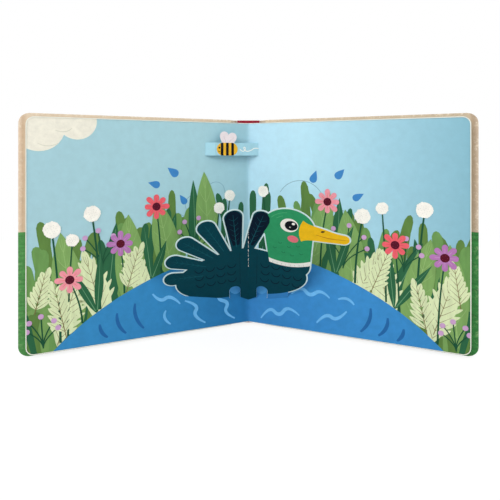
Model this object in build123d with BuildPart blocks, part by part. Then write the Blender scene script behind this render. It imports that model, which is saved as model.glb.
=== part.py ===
from build123d import *
import os
from math import acos, atan2, cos, degrees, hypot, radians, sin, tan

os.makedirs("parts", exist_ok=True)

# A hardcover pop-up book, standing open in a V on the lower edges of its case.
# +X is to the right as the open pages are read, +Y goes behind the book, +Z is up.
# The origin is the centre of the spine's foot. Lengths are in millimetres, angles in degrees.

# Open pages
page_turn = 22.0
page_width = 178.0
page_height = 178.0
page_corner_radius = 6.0
sheet_thickness = 0.4
stack_thickness = 5.6
leaves_a_side = 3
leaf_groove = 0.25
leaf_groove_depth = 0.6

# Case
board_thickness = 2.5
case_paper = 0.25
pastedown_thickness = 0.3
foot_overhang = 3.0
fore_overhang = 5.5
board_corner_radius = 8.0
spine_width = 20.0
board_start = 14.0
turn_in = 15.0
pastedown_start = 11.5
pastedown_margin = 1.5
running_gap = 0.3
seat_gap = 0.2

# Printed layers
ink = 0.08
green_height = 94.0

# Duck, a folded sheet glued across the gutter
glue_angle = 80.0
crease_lean = 35.0
fold_rise = 20.0
pop_up_card = 0.4
border = 1.1
head_radius = 21.0
head_reach = 31.0
head_rise = 94.0
neck_length = 16.0
collar_depth = 4.5
bill_length = 47.0
bill_root = 12.0
bill_waist = 7.6
bill_tip = 5.6
bill_drop = 2.5
bill_bulge = 3.5
breast_radius = 17.5
breast_reach = 34.0
breast_rise = 55.0
body_length = 112.0
body_depth = 60.0
body_tilt = 4.0
body_shift = 6.0
body_rise = 38.0
feather_count = 6
feather_pitch = 20.5
feather_first = -17.0
feather_length = 72.0
feather_taper = 1.8
feather_base = 3.0
feather_tip = 8.2
fan_shift = 8.0
fan_rise = 40.0
strip_half = 7.3
strip_point = 6.0
notch_width = 9.7
notch_rise = 17.0
left_foot = 33.0
right_foot = 18.0
foot_top = 32.0
tab_depth = 9.0
tab_inset = 2.0
eye_radius = 6.8
eye_shift = 0.5
eye_lift = 4.0
pupil_radius = 4.8
pupil_shift = 1.4

# Strap with an insect on it, glued across the gutter near the head of the pages
strap_left = 40.0
strap_right = 9.2
strap_drop = 29.0
strap_height = 11.0
strap_card = 0.35
strap_tab = 6.0
insect_from_riser = 11.0
insect_length = 19.0
insect_depth = 11.0
insect_wing_length = 12.0
insect_wing_width = 8.0
insect_wing_turns = (20, -35)
band_width = 2.4

# Pictures printed on the open pages
pond_height = 66.0
pond_reach = 160.0
bank_height = 40.0
cloud_radius = 15.0
petal_width = 3.4
petal_reach = 9.0
petal_bars = 4
flower_centre = 3.0
flower_centre_sides = 8
puff_radius = 5.6
puff_sides = 16

# Overrun of the cuts
overrun = 1.0

# Places in the pictures, as shares of the page's width and height
POND_SHOULDER_SHARES = (0.5, 0.76)
BANK_START_SHARE = 0.33
BANK_DIP_SHARE = 0.8
CLOUD_SHARES = [(0.95, 0.955, 1.2), (0.80, 0.985, 0.95)]
# Leaves: root across, root up, length, width, then the lean away from the gutter in degrees
DARK_LEAF_SHARES = {
    -1: [(0.27, 0.27, 0.45, 0.06, 2), (0.47, 0.16, 0.42, 0.07, -14), (0.69, 0.04, 0.50, 0.08, -6)],
    1: [(0.44, 0.18, 0.46, 0.07, 2), (0.63, 0.08, 0.42, 0.07, 26), (0.86, 0.02, 0.46, 0.08, -10)],
}
MID_LEAF_SHARES = {
    -1: [(0.20, 0.30, 0.46, 0.11, 4), (0.37, 0.22, 0.42, 0.12, 12), (0.57, 0.11, 0.46, 0.13, 2),
         (0.80, 0.03, 0.48, 0.13, 8)],
    1: [(0.31, 0.26, 0.42, 0.11, 14), (0.53, 0.13, 0.46, 0.13, -6), (0.74, 0.05, 0.44, 0.12, 14),
        (0.95, 0.02, 0.44, 0.11, -4)],
}
PALE_LEAF_SHARES = {
    -1: [(0.49, 0.16, 0.28, 0.09, 22), (0.67, 0.05, 0.38, 0.11, 16), (0.88, 0.02, 0.32, 0.10, -16)],
    1: [(0.50, 0.15, 0.30, 0.09, 30), (0.68, 0.06, 0.36, 0.11, -8), (0.84, 0.02, 0.34, 0.10, 18)],
}
# Flowers: across and up
CORAL_SHARES = {-1: [(0.46, 0.60), (0.83, 0.30)], 1: [(0.40, 0.62), (0.70, 0.44)]}
LILAC_SHARES = {-1: [(0.62, 0.44)], 1: [(0.90, 0.40)]}
PUFF_SHARES = {-1: [(0.74, 0.58), (0.90, 0.52)], 1: [(0.56, 0.56), (0.82, 0.60)]}

# Worked out from the sizes above
block_thickness = sheet_thickness + stack_thickness
case_height = page_height + 2 * foot_overhang
case_reach = page_width + fore_overhang
turn_sin, turn_cos = sin(radians(page_turn)), cos(radians(page_turn))
gutter_y = -(block_thickness * turn_cos + seat_gap + case_paper + board_thickness / 2)
pastedown_face = block_thickness + running_gap
lining_face = pastedown_face + pastedown_thickness
board_face = lining_face + case_paper
board_back = board_face + board_thickness
case_back = board_back + case_paper
hinge_x = spine_width / 2 + case_paper + running_gap + case_paper / 2
hinge_y = board_thickness / 2 + case_paper / 2
seat = 2 * ink

SIDES = {"left": -1, "right": 1}
COVERS = {"front": -1, "back": 1}


def page_plane(side, depth=0.0, height=0.0):
    """The plane of a page, depth behind its face. Its x runs to the right, its y up, its z to the reader."""
    face = Vector(-side * turn_sin, -turn_cos, 0)
    return Plane(
        origin=Vector(0, gutter_y, height) - face * depth,
        x_dir=(turn_cos, -side * turn_sin, 0),
        z_dir=face,
    )


def page_point(side, across, depth):
    """Where a point of a page lies in plan, across from the gutter and depth behind the page's face."""
    return (
        side * (across * turn_cos + depth * turn_sin),
        gutter_y - across * turn_sin + depth * turn_cos,
    )


def half_panel(side, start, end, foot, head, radius):
    """A flat panel of one side, with the two corners of its fore-edge rounded."""
    with BuildSketch() as panel:
        with Locations((side * (start + end) / 2, (foot + head) / 2)):
            Rectangle(end - start, head - foot)
        outer = panel.vertices().group_by(Axis.X)[-1 if side > 0 else 0]
        fillet(outer, radius)
    return panel.sketch


def finish(part, name):
    """Names a finished piece and writes it."""
    part.label = name
    export_step(part, f"parts/{name}.step")
    return part


# Page block


def spread_half(side):
    """One half of the open spread's folded card, mitred at the gutter."""
    with BuildPart() as half:
        with BuildSketch(page_plane(side, sheet_thickness)):
            add(half_panel(side, -overrun, page_width, foot_overhang,
                           foot_overhang + page_height, page_corner_radius))
        extrude(amount=sheet_thickness)
        split(bisect_by=Plane.YZ, keep=Keep.TOP if side > 0 else Keep.BOTTOM)
    return half.part


with BuildPart() as spread_sheet:
    for side in SIDES.values():
        add(spread_half(side))
finish(spread_sheet.part, "spread_sheet")


def page_stack(side):
    """The leaves behind one page, with a groove round their edges where one leaf ends."""
    outline = half_panel(side, 0, page_width, foot_overhang,
                         foot_overhang + page_height, page_corner_radius)
    leaf = stack_thickness / leaves_a_side
    with BuildPart() as stack:
        with BuildSketch(page_plane(side, block_thickness)):
            add(outline)
        extrude(amount=stack_thickness)
        for joint in range(1, leaves_a_side):
            with BuildSketch(page_plane(side, block_thickness - joint * leaf + leaf_groove / 2)):
                add(outline)
                offset(outline, amount=-leaf_groove_depth, mode=Mode.SUBTRACT)
            extrude(amount=leaf_groove, mode=Mode.SUBTRACT)
    return stack.part


for name, side in SIDES.items():
    finish(page_stack(side), f"{name}_pages")


# Case

with BuildPart() as spine_board:
    with BuildSketch(Plane.XY.offset(case_paper)):
        Rectangle(spine_width, board_thickness)
    extrude(amount=case_height - 2 * case_paper)
finish(spine_board.part, "spine_board")

with BuildPart() as spine_paper:
    with BuildSketch():
        Rectangle(spine_width + 2 * case_paper, board_thickness + 2 * case_paper)
    extrude(amount=case_height)
    add(spine_board.part, mode=Mode.SUBTRACT)
    with BuildSketch(Plane.XY.offset(turn_in)):
        with Locations((0, -(board_thickness + case_paper) / 2)):
            Rectangle(spine_width, case_paper)
    extrude(amount=case_height - 2 * turn_in, mode=Mode.SUBTRACT)
finish(spine_paper.part, "spine_paper")


def cover_board(side):
    """The stiff board of one cover."""
    with BuildPart() as board:
        with BuildSketch(page_plane(side, board_back)):
            add(half_panel(side, board_start, case_reach - case_paper, case_paper,
                           case_height - case_paper, board_corner_radius - case_paper))
        extrude(amount=board_thickness)
    return board.part


def joint_strip(side):
    """The paper that bends between the spine and the board, round at the line that it turns on."""
    board_edge = page_point(side, board_start, board_back + case_paper / 2)
    run = (board_edge[0] - side * hinge_x, board_edge[1] - hinge_y)
    middle = (side * hinge_x + run[0] / 2, hinge_y + run[1] / 2)
    with BuildPart() as strip:
        with BuildSketch():
            with Locations(middle):
                SlotCenterToCenter(hypot(*run), case_paper, rotation=degrees(atan2(run[1], run[0])))
        extrude(amount=case_height)
    return strip.part


def cover_paper(side, board):
    """The printed paper round a board, turned in on three sides, with the joint strip at the fourth."""
    with BuildPart() as paper:
        with BuildSketch(page_plane(side, case_back)):
            add(half_panel(side, board_start, case_reach, 0, case_height, board_corner_radius))
        extrude(amount=case_back - lining_face)
        add(board, mode=Mode.SUBTRACT)
        with BuildSketch(page_plane(side, board_face)):
            add(half_panel(side, board_start - overrun, case_reach - turn_in, turn_in,
                           case_height - turn_in, page_corner_radius))
        extrude(amount=case_paper, mode=Mode.SUBTRACT)
        add(joint_strip(side))
    return paper.part


def pastedown(side):
    """The sheet glued inside a cover, pressed down between the turned-in edges."""
    foot, head = foot_overhang + pastedown_margin, case_height - foot_overhang - pastedown_margin
    with BuildPart() as sheet:
        with BuildSketch(page_plane(side, lining_face)):
            add(half_panel(side, pastedown_start, page_width - pastedown_margin, foot, head,
                           page_corner_radius))
        extrude(amount=pastedown_thickness)
        with BuildSketch(page_plane(side, board_face)):
            add(half_panel(side, board_start, case_reach - turn_in - seat_gap, turn_in + seat_gap,
                           case_height - turn_in - seat_gap, page_corner_radius))
        extrude(amount=case_paper)
    return sheet.part


def green_field(side):
    """The green lower part of a cover's print, round the fore-edge from the outside to the inside."""
    reach = case_reach + ink
    inner_edge = page_width - pastedown_margin + seat_gap
    inner_foot = foot_overhang + pastedown_margin - seat_gap
    with BuildSketch() as block:
        add(half_panel(side, board_start, reach, 0, case_height, board_corner_radius + ink))
        with Locations((side * reach / 2, (green_height + case_height) / 2)):
            Rectangle(reach + overrun, case_height - green_height, mode=Mode.SUBTRACT)
    with BuildPart() as field:
        with BuildSketch(page_plane(side, case_back + ink)):
            add(block.sketch)
        extrude(amount=case_back - lining_face + 2 * ink)
        with BuildSketch(page_plane(side, case_back)):
            add(half_panel(side, 0, case_reach, -overrun, case_height, board_corner_radius))
        extrude(amount=case_back - lining_face, mode=Mode.SUBTRACT)
        with BuildSketch(page_plane(side, lining_face)):
            with Locations((side * inner_edge / 2, (inner_foot + case_height) / 2)):
                Rectangle(inner_edge, case_height - inner_foot)
        extrude(amount=ink + overrun, mode=Mode.SUBTRACT)
    return field.part


for name, side in COVERS.items():
    board = cover_board(side)
    finish(board, f"{name}_cover_board")
    finish(cover_paper(side, board), f"{name}_cover_paper")
    finish(pastedown(side), f"{name}_pastedown")
    finish(green_field(side), f"{name}_cover_green_field")


# Duck

lean_sin, lean_cos = sin(radians(crease_lean)), cos(radians(crease_lean))
crease = Vector(0, -lean_sin, lean_cos)
glue_sin, glue_cos = sin(radians(glue_angle)), cos(radians(glue_angle))
glue_to_crease = degrees(acos(glue_sin * turn_sin * lean_sin + glue_cos * lean_cos))
foot_slope = tan(radians(90 - glue_to_crease))
fold_foot = Vector(0, gutter_y - seat / turn_cos, foot_overhang + fold_rise)
foot_width = {-1: left_foot, 1: right_foot}


def wing_plane(side, lift=0.0):
    """The plane of one half of the folded sheet, its y along the crease, lifted towards the reader."""
    glue = Vector(side * glue_sin * turn_cos, -glue_sin * turn_sin, glue_cos)
    across = (glue - crease * glue.dot(crease)).normalized() * side
    face = across.cross(crease)
    return Plane(origin=fold_foot + face * lift, x_dir=across, z_dir=face)


def head_outline(inset=0.0):
    """The round head."""
    with BuildSketch() as head:
        with Locations((head_reach, head_rise)):
            Circle(head_radius - inset)
    return head.sketch


def neck_outline(inset=0.0):
    """The neck, from the head down to the breast."""
    with BuildSketch() as neck:
        with Locations((head_reach, head_rise)):
            Circle(head_radius - border - inset)
        with Locations((breast_reach, breast_rise)):
            Circle(breast_radius - inset)
        make_hull()
    return neck.sketch


def body_outline(inset=0.0):
    """The body, the neck and the narrow strip that runs down the crease to the gutter."""
    with BuildSketch() as body:
        with Locations(Location((-body_shift, body_rise, 0), (0, 0, body_tilt))):
            Ellipse(body_length / 2 - inset, body_depth / 2 - inset)
        with Locations((0, foot_top / 2)):
            Rectangle(2 * strip_half, foot_top)
        add(neck_outline(inset))
    return body.sketch


def bill_outline(inset=0.0):
    """The closed bill, hollow along its top and round at its tip and its root."""
    root = Vector(head_reach + head_radius / 2, head_rise)
    tip = Vector(head_reach + bill_length - bill_tip, head_rise - bill_drop)
    middle = (root + tip) * 0.5
    at_root, at_middle, at_tip = (Vector(0, half - inset) for half in (bill_root, bill_waist, bill_tip))
    with BuildSketch() as bill:
        with BuildLine():
            top = Spline(root + at_root, middle + at_middle, tip + at_tip, tangents=[(1, -1), (1, 0)])
            end = TangentArc(top @ 1, tip - at_tip, tangent=top % 1)
            under = Spline(end @ 1, middle - at_middle, root - at_root, tangents=[(-1, 0), (-1, -1)])
            ThreePointArc(under @ 1, root - Vector(bill_bulge - inset, 0), top @ 0)
        make_face()
    return bill.sketch


def feather_outline(index, inset=0.0):
    """One feather of the fan, wider towards its round tip."""
    turn = radians(feather_first + index * feather_pitch)
    reach = feather_length - index * feather_taper - feather_tip
    root = Vector(-fan_shift, fan_rise)
    with BuildSketch() as feather:
        with Locations(root):
            Circle(feather_base - inset)
        with Locations(root + Vector(-sin(turn), cos(turn)) * reach):
            Circle(feather_tip - inset)
        make_hull()
    return feather.sketch


def foot_outline(side):
    """The water-coloured foot under one half, which carries that half's glued tab."""
    near = strip_half + notch_width
    far = near + foot_width[side]
    with BuildSketch() as foot:
        Polygon((side * near, near * foot_slope), (side * far, far * foot_slope),
                (side * far, foot_top), (side * near, foot_top), align=None)
    return foot.sketch


def below_sheet():
    """What is cut away under the sheet: below the glue lines, beside the strip and in the two notches."""
    reach = 2 * feather_length
    near, far = strip_half, strip_half + notch_width
    with BuildSketch() as cut:
        Polygon((0, 0), (near, strip_point), (far, strip_point), (far, far * foot_slope),
                (reach, reach * foot_slope), (reach, -reach), (0, -reach), align=None)
        with Locations(((near + far) / 2, notch_rise)):
            Circle((far - near) / 2)
        with Locations(((near + far) / 2, notch_rise / 2)):
            Rectangle(far - near, notch_rise)
        mirror(about=Plane.YZ)
    return cut.sketch


def duck_outline():
    """The whole die-cut outline, flat."""
    with BuildSketch() as outline:
        for index in range(feather_count):
            add(feather_outline(index))
        add(body_outline())
        add(head_outline())
        add(bill_outline())
        for side in SIDES.values():
            add(foot_outline(side))
        add(below_sheet(), mode=Mode.SUBTRACT)
    return outline.sketch


def reaches(flat, side):
    """How far a flat outline goes out on one side of the crease."""
    box = flat.bounding_box()
    return box.max.X if side > 0 else -box.min.X


def beside_crease(flat, side):
    """The part of a flat outline that lies on one side of the crease, and a little past it."""
    reach = reaches(flat, side) + overrun
    with BuildSketch() as half:
        add(flat)
        with Locations((side * (reach - overrun) / 2, 0)):
            Rectangle(reach + overrun, 4 * feather_length, mode=Mode.INTERSECT)
    return half.sketch


def folded(flat, low, high):
    """A flat outline on both halves of the folded sheet, from one height over it to another."""
    with BuildPart() as sheet:
        for side in SIDES.values():
            if reaches(flat, side) < overrun:
                continue
            with BuildPart(mode=Mode.PRIVATE) as half:
                with BuildSketch(wing_plane(side, low)):
                    add(beside_crease(flat, side))
                extrude(amount=high - low)
                split(bisect_by=Plane.YZ, keep=Keep.TOP if side > 0 else Keep.BOTTOM)
                split(bisect_by=page_plane(side, -seat), keep=Keep.TOP)
            add(half.part)
    return sheet.part


def glue_tab(side):
    """The tab along one foot, folded back behind the sheet and glued to the page."""
    near = (strip_half + notch_width) / sin(radians(glue_to_crease))
    far = near + foot_width[side] / sin(radians(glue_to_crease))
    along = Vector(side * glue_sin, glue_cos)
    up = Vector(-side * glue_cos, glue_sin)
    fold = up * (pop_up_card / 2)
    with BuildPart() as tab:
        with BuildSketch(page_plane(side, -seat, foot_overhang + fold_rise)):
            Polygon(along * near + fold, along * far + fold, along * (far - tab_inset) + up * tab_depth,
                    along * (near + tab_inset) + up * tab_depth, align=None)
        extrude(amount=pop_up_card)
    return tab.part


with BuildPart() as duck_pop_up:
    add(folded(duck_outline(), -pop_up_card / 2, pop_up_card / 2))
    for side in SIDES.values():
        add(glue_tab(side))
finish(duck_pop_up.part, "duck_pop_up")

# Colours printed on the duck, inside the pale border that the die cut leaves
bill_print = bill_outline(border)
collar_start = head_radius + neck_length

with BuildSketch() as head_print:
    with Locations((head_reach, head_rise)):
        Circle(collar_start)
    add(neck_outline(border), mode=Mode.INTERSECT)
    add(head_outline(border))
    add(bill_print, mode=Mode.SUBTRACT)

with BuildSketch() as collar_print:
    with Locations((head_reach, head_rise)):
        Circle(collar_start + collar_depth)
        Circle(collar_start, mode=Mode.SUBTRACT)
    add(neck_outline(border), mode=Mode.INTERSECT)

with BuildSketch() as body_print:
    for index in range(feather_count):
        add(feather_outline(index, border))
    add(body_outline(border))
    add(below_sheet(), mode=Mode.SUBTRACT)
    add(head_print.sketch, mode=Mode.SUBTRACT)
    add(collar_print.sketch, mode=Mode.SUBTRACT)
    add(bill_print, mode=Mode.SUBTRACT)

with BuildSketch() as foot_print:
    for side in SIDES.values():
        add(foot_outline(side))
    add(below_sheet(), mode=Mode.SUBTRACT)
    add(body_outline(border), mode=Mode.SUBTRACT)
    for index in range(feather_count):
        add(feather_outline(index, border), mode=Mode.SUBTRACT)

with BuildSketch() as eye_print:
    with Locations((head_reach + eye_shift, head_rise + eye_lift)):
        Circle(eye_radius)

with BuildSketch() as pupil_print:
    with Locations((head_reach + eye_shift + pupil_shift, head_rise + eye_lift)):
        Circle(pupil_radius)

DUCK_PRINTS = {
    "duck_body_print": (body_print.sketch, 0),
    "duck_head_print": (head_print.sketch, 0),
    "duck_bill_print": (bill_print, 0),
    "duck_collar_print": (collar_print.sketch, 0),
    "duck_water_print": (foot_print.sketch, 0),
    "duck_eye_print": (eye_print.sketch, 1),
    "duck_pupil_print": (pupil_print.sketch, 2),
}
for name, (flat, layer) in DUCK_PRINTS.items():
    low = pop_up_card / 2 + layer * ink
    finish(folded(flat, low, low + ink), name)


# Strap

strap_depth = -(seat + strap_card / 2)
strap_z = foot_overhang + page_height - strap_drop
left_end = page_point(-1, strap_left, strap_depth)
right_end = page_point(1, strap_right, strap_depth)
left_tab_end = page_point(-1, strap_left - strap_tab, strap_depth)
right_tab_end = page_point(1, strap_right - strap_tab, strap_depth)
strap_top = (left_end[0] + strap_right * turn_cos, left_end[1] - strap_right * turn_sin)
face_run = Vector(right_end[0] - strap_top[0], right_end[1] - strap_top[1])
face_plane = Plane(
    origin=Vector(strap_top[0], strap_top[1], strap_z),
    x_dir=face_run,
    z_dir=face_run.cross(Vector(0, 0, 1)),
)


def insect_body():
    """The insect's body, a round-ended oval flat on the strap's long face."""
    with BuildSketch() as body:
        with Locations((insect_from_riser, strap_height / 2)):
            SlotOverall(insect_length, insect_depth)
    return body.sketch


def insect_wings():
    """Its two wings, raised from the middle of its back."""
    with BuildSketch() as wings:
        for turn in insect_wing_turns:
            root = Location((insect_from_riser, strap_height / 2 + insect_depth / 3, 0), (0, 0, turn))
            with Locations(root):
                with Locations((0, insect_wing_length / 2)):
                    SlotOverall(insect_wing_length, insect_wing_width, rotation=90)
        add(insect_body(), mode=Mode.SUBTRACT)
    return wings.sketch


with BuildPart() as bee_strap:
    with BuildSketch(Plane.XY.offset(strap_z)):
        for start, end in ((left_tab_end, left_end), (left_end, strap_top),
                           (strap_top, right_end), (right_end, right_tab_end)):
            run = (end[0] - start[0], end[1] - start[1])
            with Locations(((start[0] + end[0]) / 2, (start[1] + end[1]) / 2)):
                SlotCenterToCenter(hypot(*run), strap_card, rotation=degrees(atan2(run[1], run[0])))
    extrude(amount=strap_height)
    with BuildSketch(face_plane.offset(-strap_card / 2)):
        add(insect_body())
        add(insect_wings())
    extrude(amount=strap_card)
finish(bee_strap.part, "bee_strap")

with BuildSketch() as bands:
    add(insect_body())
    with BuildSketch(mode=Mode.INTERSECT):
        with Locations((insect_from_riser, strap_height / 2)):
            with GridLocations(2 * band_width, insect_depth, 3, 1):
                Rectangle(band_width, 2 * insect_depth)

INSECT_PRINTS = {"bee_body_print": (insect_body(), 0), "bee_wing_print": (insect_wings(), 0),
                 "bee_band_print": (bands.sketch, 1)}
for name, (flat, layer) in INSECT_PRINTS.items():
    with BuildPart() as printed:
        with BuildSketch(face_plane.offset(strap_card / 2 + layer * ink)):
            add(flat)
        extrude(amount=ink)
    finish(printed.part, name)


# Pictures printed on the open pages. Each colour is one layer, the later ones over the earlier.


def page_place(side, across_share, up_share):
    """A place on a page, from its shares of the width and the height."""
    return (side * across_share * page_width, foot_overhang + up_share * page_height)


def page_area(side):
    """The printed area of a page."""
    return half_panel(side, 0, page_width, foot_overhang, foot_overhang + page_height,
                      page_corner_radius)


def pond(side):
    """Half of the pond, a mound of water that ends at the gutter."""
    across_share, up_share = POND_SHOULDER_SHARES
    foot = foot_overhang
    with BuildSketch() as water:
        with BuildLine():
            shore = Spline((0, foot + pond_height),
                           (side * pond_reach * across_share, foot + pond_height * up_share),
                           (side * pond_reach, foot), tangents=[(side, 0), (side, -1)])
            Polyline(shore @ 1, (0, foot), shore @ 0)
        make_face()
    return water.sketch


def bank(side):
    """The grassy bank behind the pond, out to the fore-edge."""
    foot = foot_overhang
    inner = page_width * BANK_START_SHARE
    with BuildSketch() as grass:
        with BuildLine():
            top = ThreePointArc((side * inner, foot), (side * (inner + page_width) / 2, foot + bank_height),
                                (side * page_width, foot + bank_height * BANK_DIP_SHARE))
            Polyline(top @ 1, (side * page_width, foot), top @ 0)
        make_face()
        add(page_area(side), mode=Mode.INTERSECT)
        add(pond(side), mode=Mode.SUBTRACT)
    return grass.sketch


def cloud(side):
    """A cloud cut by the upper corner of the left page."""
    with BuildSketch() as puffs:
        for across_share, up_share, size_share in CLOUD_SHARES:
            with Locations(page_place(side, across_share, up_share)):
                Circle(size_share * cloud_radius)
        add(page_area(side), mode=Mode.INTERSECT)
    return puffs.sketch


def leaves(side, shares):
    """Pointed leaves, each a lens of two arcs."""
    with BuildSketch() as blades:
        for across_share, up_share, length_share, width_share, lean in shares[side]:
            tall, half = length_share * page_height, width_share * page_width / 2
            with BuildSketch(mode=Mode.PRIVATE) as blade:
                with BuildLine():
                    ThreePointArc((0, 0), (half, tall / 2), (0, tall))
                    ThreePointArc((0, tall), (-half, tall / 2), (0, 0))
                make_face()
            with Locations(Location((*page_place(side, across_share, up_share), 0), (0, 0, -side * lean))):
                add(blade.sketch)
        add(page_area(side), mode=Mode.INTERSECT)
        add(pond(side), mode=Mode.SUBTRACT)
    return blades.sketch


def flowers(side, shares):
    """Open flowers, each of a few crossed bars, so that every bar makes two petals."""
    with BuildSketch() as blooms:
        for across_share, up_share in shares[side]:
            with Locations(page_place(side, across_share, up_share)):
                with PolarLocations(0, petal_bars, angular_range=180):
                    Rectangle(2 * petal_reach, petal_width)
    return blooms.sketch


def centres(side, shares):
    """The dark centres of the open flowers."""
    with BuildSketch() as spots:
        for across_share, up_share in shares[side]:
            with Locations(page_place(side, across_share, up_share)):
                RegularPolygon(flower_centre, flower_centre_sides)
    return spots.sketch


def puffs(side, shares):
    """Round seed heads."""
    with BuildSketch() as heads:
        for across_share, up_share in shares[side]:
            with Locations(page_place(side, across_share, up_share)):
                RegularPolygon(puff_radius, puff_sides)
    return heads.sketch


def page_print(name, drawn, layer):
    """Writes one printed colour from its flat outline on each page."""
    with BuildPart() as printed:
        for side, flat in drawn.items():
            with BuildSketch(page_plane(side, -layer * ink)):
                add(flat)
            extrude(amount=ink)
    finish(printed.part, name)


BOTH = SIDES.values()
CENTRE_SHARES = {side: CORAL_SHARES[side] + LILAC_SHARES[side] for side in BOTH}
page_print("pond_print", {side: pond(side) for side in BOTH}, 0)
page_print("bank_print", {side: bank(side) for side in BOTH}, 0)
page_print("cloud_print", {-1: cloud(-1)}, 0)
page_print("dark_leaf_print", {side: leaves(side, DARK_LEAF_SHARES) for side in BOTH}, 1)
page_print("mid_leaf_print", {side: leaves(side, MID_LEAF_SHARES) for side in BOTH}, 2)
page_print("pale_leaf_print", {side: leaves(side, PALE_LEAF_SHARES) for side in BOTH}, 3)
page_print("coral_flower_print", {side: flowers(side, CORAL_SHARES) for side in BOTH}, 4)
page_print("lilac_flower_print", {side: flowers(side, LILAC_SHARES) for side in BOTH}, 4)
page_print("white_flower_print", {side: puffs(side, PUFF_SHARES) for side in BOTH}, 4)
page_print("flower_centre_print", {side: centres(side, CENTRE_SHARES) for side in BOTH}, 5)
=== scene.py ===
from math import atan2, cos, pi, radians, sin, sqrt, tau
from random import Random

import bmesh
import bpy
from mathutils import Matrix, Vector


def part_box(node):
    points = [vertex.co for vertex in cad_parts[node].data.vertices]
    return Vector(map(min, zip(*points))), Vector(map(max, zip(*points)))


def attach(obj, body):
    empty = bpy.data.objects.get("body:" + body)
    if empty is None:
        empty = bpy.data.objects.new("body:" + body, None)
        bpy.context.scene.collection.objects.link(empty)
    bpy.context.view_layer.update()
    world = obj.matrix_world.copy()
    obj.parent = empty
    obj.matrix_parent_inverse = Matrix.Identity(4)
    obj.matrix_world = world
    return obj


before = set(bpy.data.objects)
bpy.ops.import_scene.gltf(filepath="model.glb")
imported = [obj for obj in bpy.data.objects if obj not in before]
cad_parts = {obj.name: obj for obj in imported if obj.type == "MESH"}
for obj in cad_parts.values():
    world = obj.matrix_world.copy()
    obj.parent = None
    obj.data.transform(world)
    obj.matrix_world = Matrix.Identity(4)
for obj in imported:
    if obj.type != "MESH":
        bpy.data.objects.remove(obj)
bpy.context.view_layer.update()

# Drawings are flat and in millimetres. A surface's matrix lays them on it, in the frame's metres.
MM = 0.001
LEFT, RIGHT = -1, 1
BOTH = (LEFT, RIGHT)

# Sizes that the CAD solids have
PAGE_TURN = radians(22)
PAGE_CORNER = 6.0
SHEET = 0.4
INK = 0.08
POND_REACH = 160.0

# Folded duck. Places on it are across from the crease and up along it.
GLUE_ANGLE = radians(80)
CREASE_LEAN = radians(35)
FOLD_RISE = 20.0
CARD_FACE = 0.2
HEAD = Vector((31, 94))
HEAD_RADIUS = 21.0
COLLAR_RADIUS = 39.0
EYE = Vector((31.5, 98))
BILL_START = 52.0
BILL_END = 76.0
FAN_ROOT = Vector((-8, 40))
FEATHER_COUNT = 6
FEATHER_FIRST = radians(-17)
FEATHER_PITCH = radians(20.5)
FEATHER_LENGTH = 72.0
FEATHER_TAPER = 1.8
FEATHER_TIP = 8.2
STRIP_HALF = 7.3
NOTCH_MIDDLE = 12.0

# Strap across the gutter
STRAP_LEFT = 40.0
STRAP_RIGHT = 9.2
STRAP_FOOT = 149.0
STRAP_HEIGHT = 11.0
STRAP_CARD = 0.35
INSECT_MIDDLE = 11.0

# How far ink keeps inside a page's edges, out of the gutter and off the duck's crease
EDGE_GAP = 0.3
GUTTER_GAP = 0.05
CREASE_GAP = 0.06

# Leaves: root across, root up, length and width as shares of the page, then the lean from the gutter
DARK_LEAVES = {
    LEFT: [(0.27, 0.27, 0.45, 0.06, 2), (0.47, 0.16, 0.42, 0.07, -14), (0.69, 0.04, 0.50, 0.08, -6)],
    RIGHT: [(0.44, 0.18, 0.46, 0.07, 2), (0.63, 0.08, 0.42, 0.07, 26), (0.86, 0.02, 0.46, 0.08, -10)],
}
MID_LEAVES = {
    LEFT: [(0.20, 0.30, 0.46, 0.11, 4), (0.37, 0.22, 0.42, 0.12, 12), (0.57, 0.11, 0.46, 0.13, 2),
           (0.80, 0.03, 0.48, 0.13, 8)],
    RIGHT: [(0.31, 0.26, 0.42, 0.11, 14), (0.53, 0.13, 0.46, 0.13, -6), (0.74, 0.05, 0.44, 0.12, 14),
            (0.95, 0.02, 0.44, 0.11, -4)],
}
PALE_LEAVES = {
    LEFT: [(0.49, 0.16, 0.28, 0.09, 22), (0.67, 0.05, 0.38, 0.11, 16), (0.88, 0.02, 0.32, 0.10, -16)],
    RIGHT: [(0.50, 0.15, 0.30, 0.09, 30), (0.68, 0.06, 0.36, 0.11, -8), (0.84, 0.02, 0.34, 0.10, 18)],
}
# Flowers and seed heads: across and up, as shares of the page
CORAL_FLOWERS = {LEFT: [(0.46, 0.60)], RIGHT: [(0.70, 0.44)]}
PINK_FLOWERS = {LEFT: [(0.83, 0.30)], RIGHT: [(0.40, 0.62)]}
LILAC_FLOWERS = {LEFT: [(0.62, 0.44)], RIGHT: [(0.90, 0.40)]}
SEED_HEADS = {LEFT: [(0.74, 0.58), (0.90, 0.52)], RIGHT: [(0.56, 0.56), (0.82, 0.60)]}
SMALL_HEADS = {LEFT: [(0.10, 0.64), (0.155, 0.58), (0.82, 0.47)], RIGHT: [(0.645, 0.60), (0.08, 0.66)]}

# Camera, from the photograph's perspective
IMAGE_SIZE = 500
FOCAL_PIXELS = 423.3
SENSOR = 36.0
EYE_HEIGHT = 150.0
EYE_DISTANCE = 380.0
HORIZON_PIXEL = 157.8
CENTRE_PIXEL = 248.4

sheet_low, sheet_high = (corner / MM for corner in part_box("spread_sheet"))
page_foot = sheet_low.z
page_height = sheet_high.z - sheet_low.z
page_width = (sheet_high.x - SHEET * sin(PAGE_TURN)) / cos(PAGE_TURN)
gutter = sheet_low.y + page_width * sin(PAGE_TURN)
case_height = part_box("front_cover_paper")[1].z / MM
green_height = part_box("front_cover_green_field")[1].z / MM


# Surfaces


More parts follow.
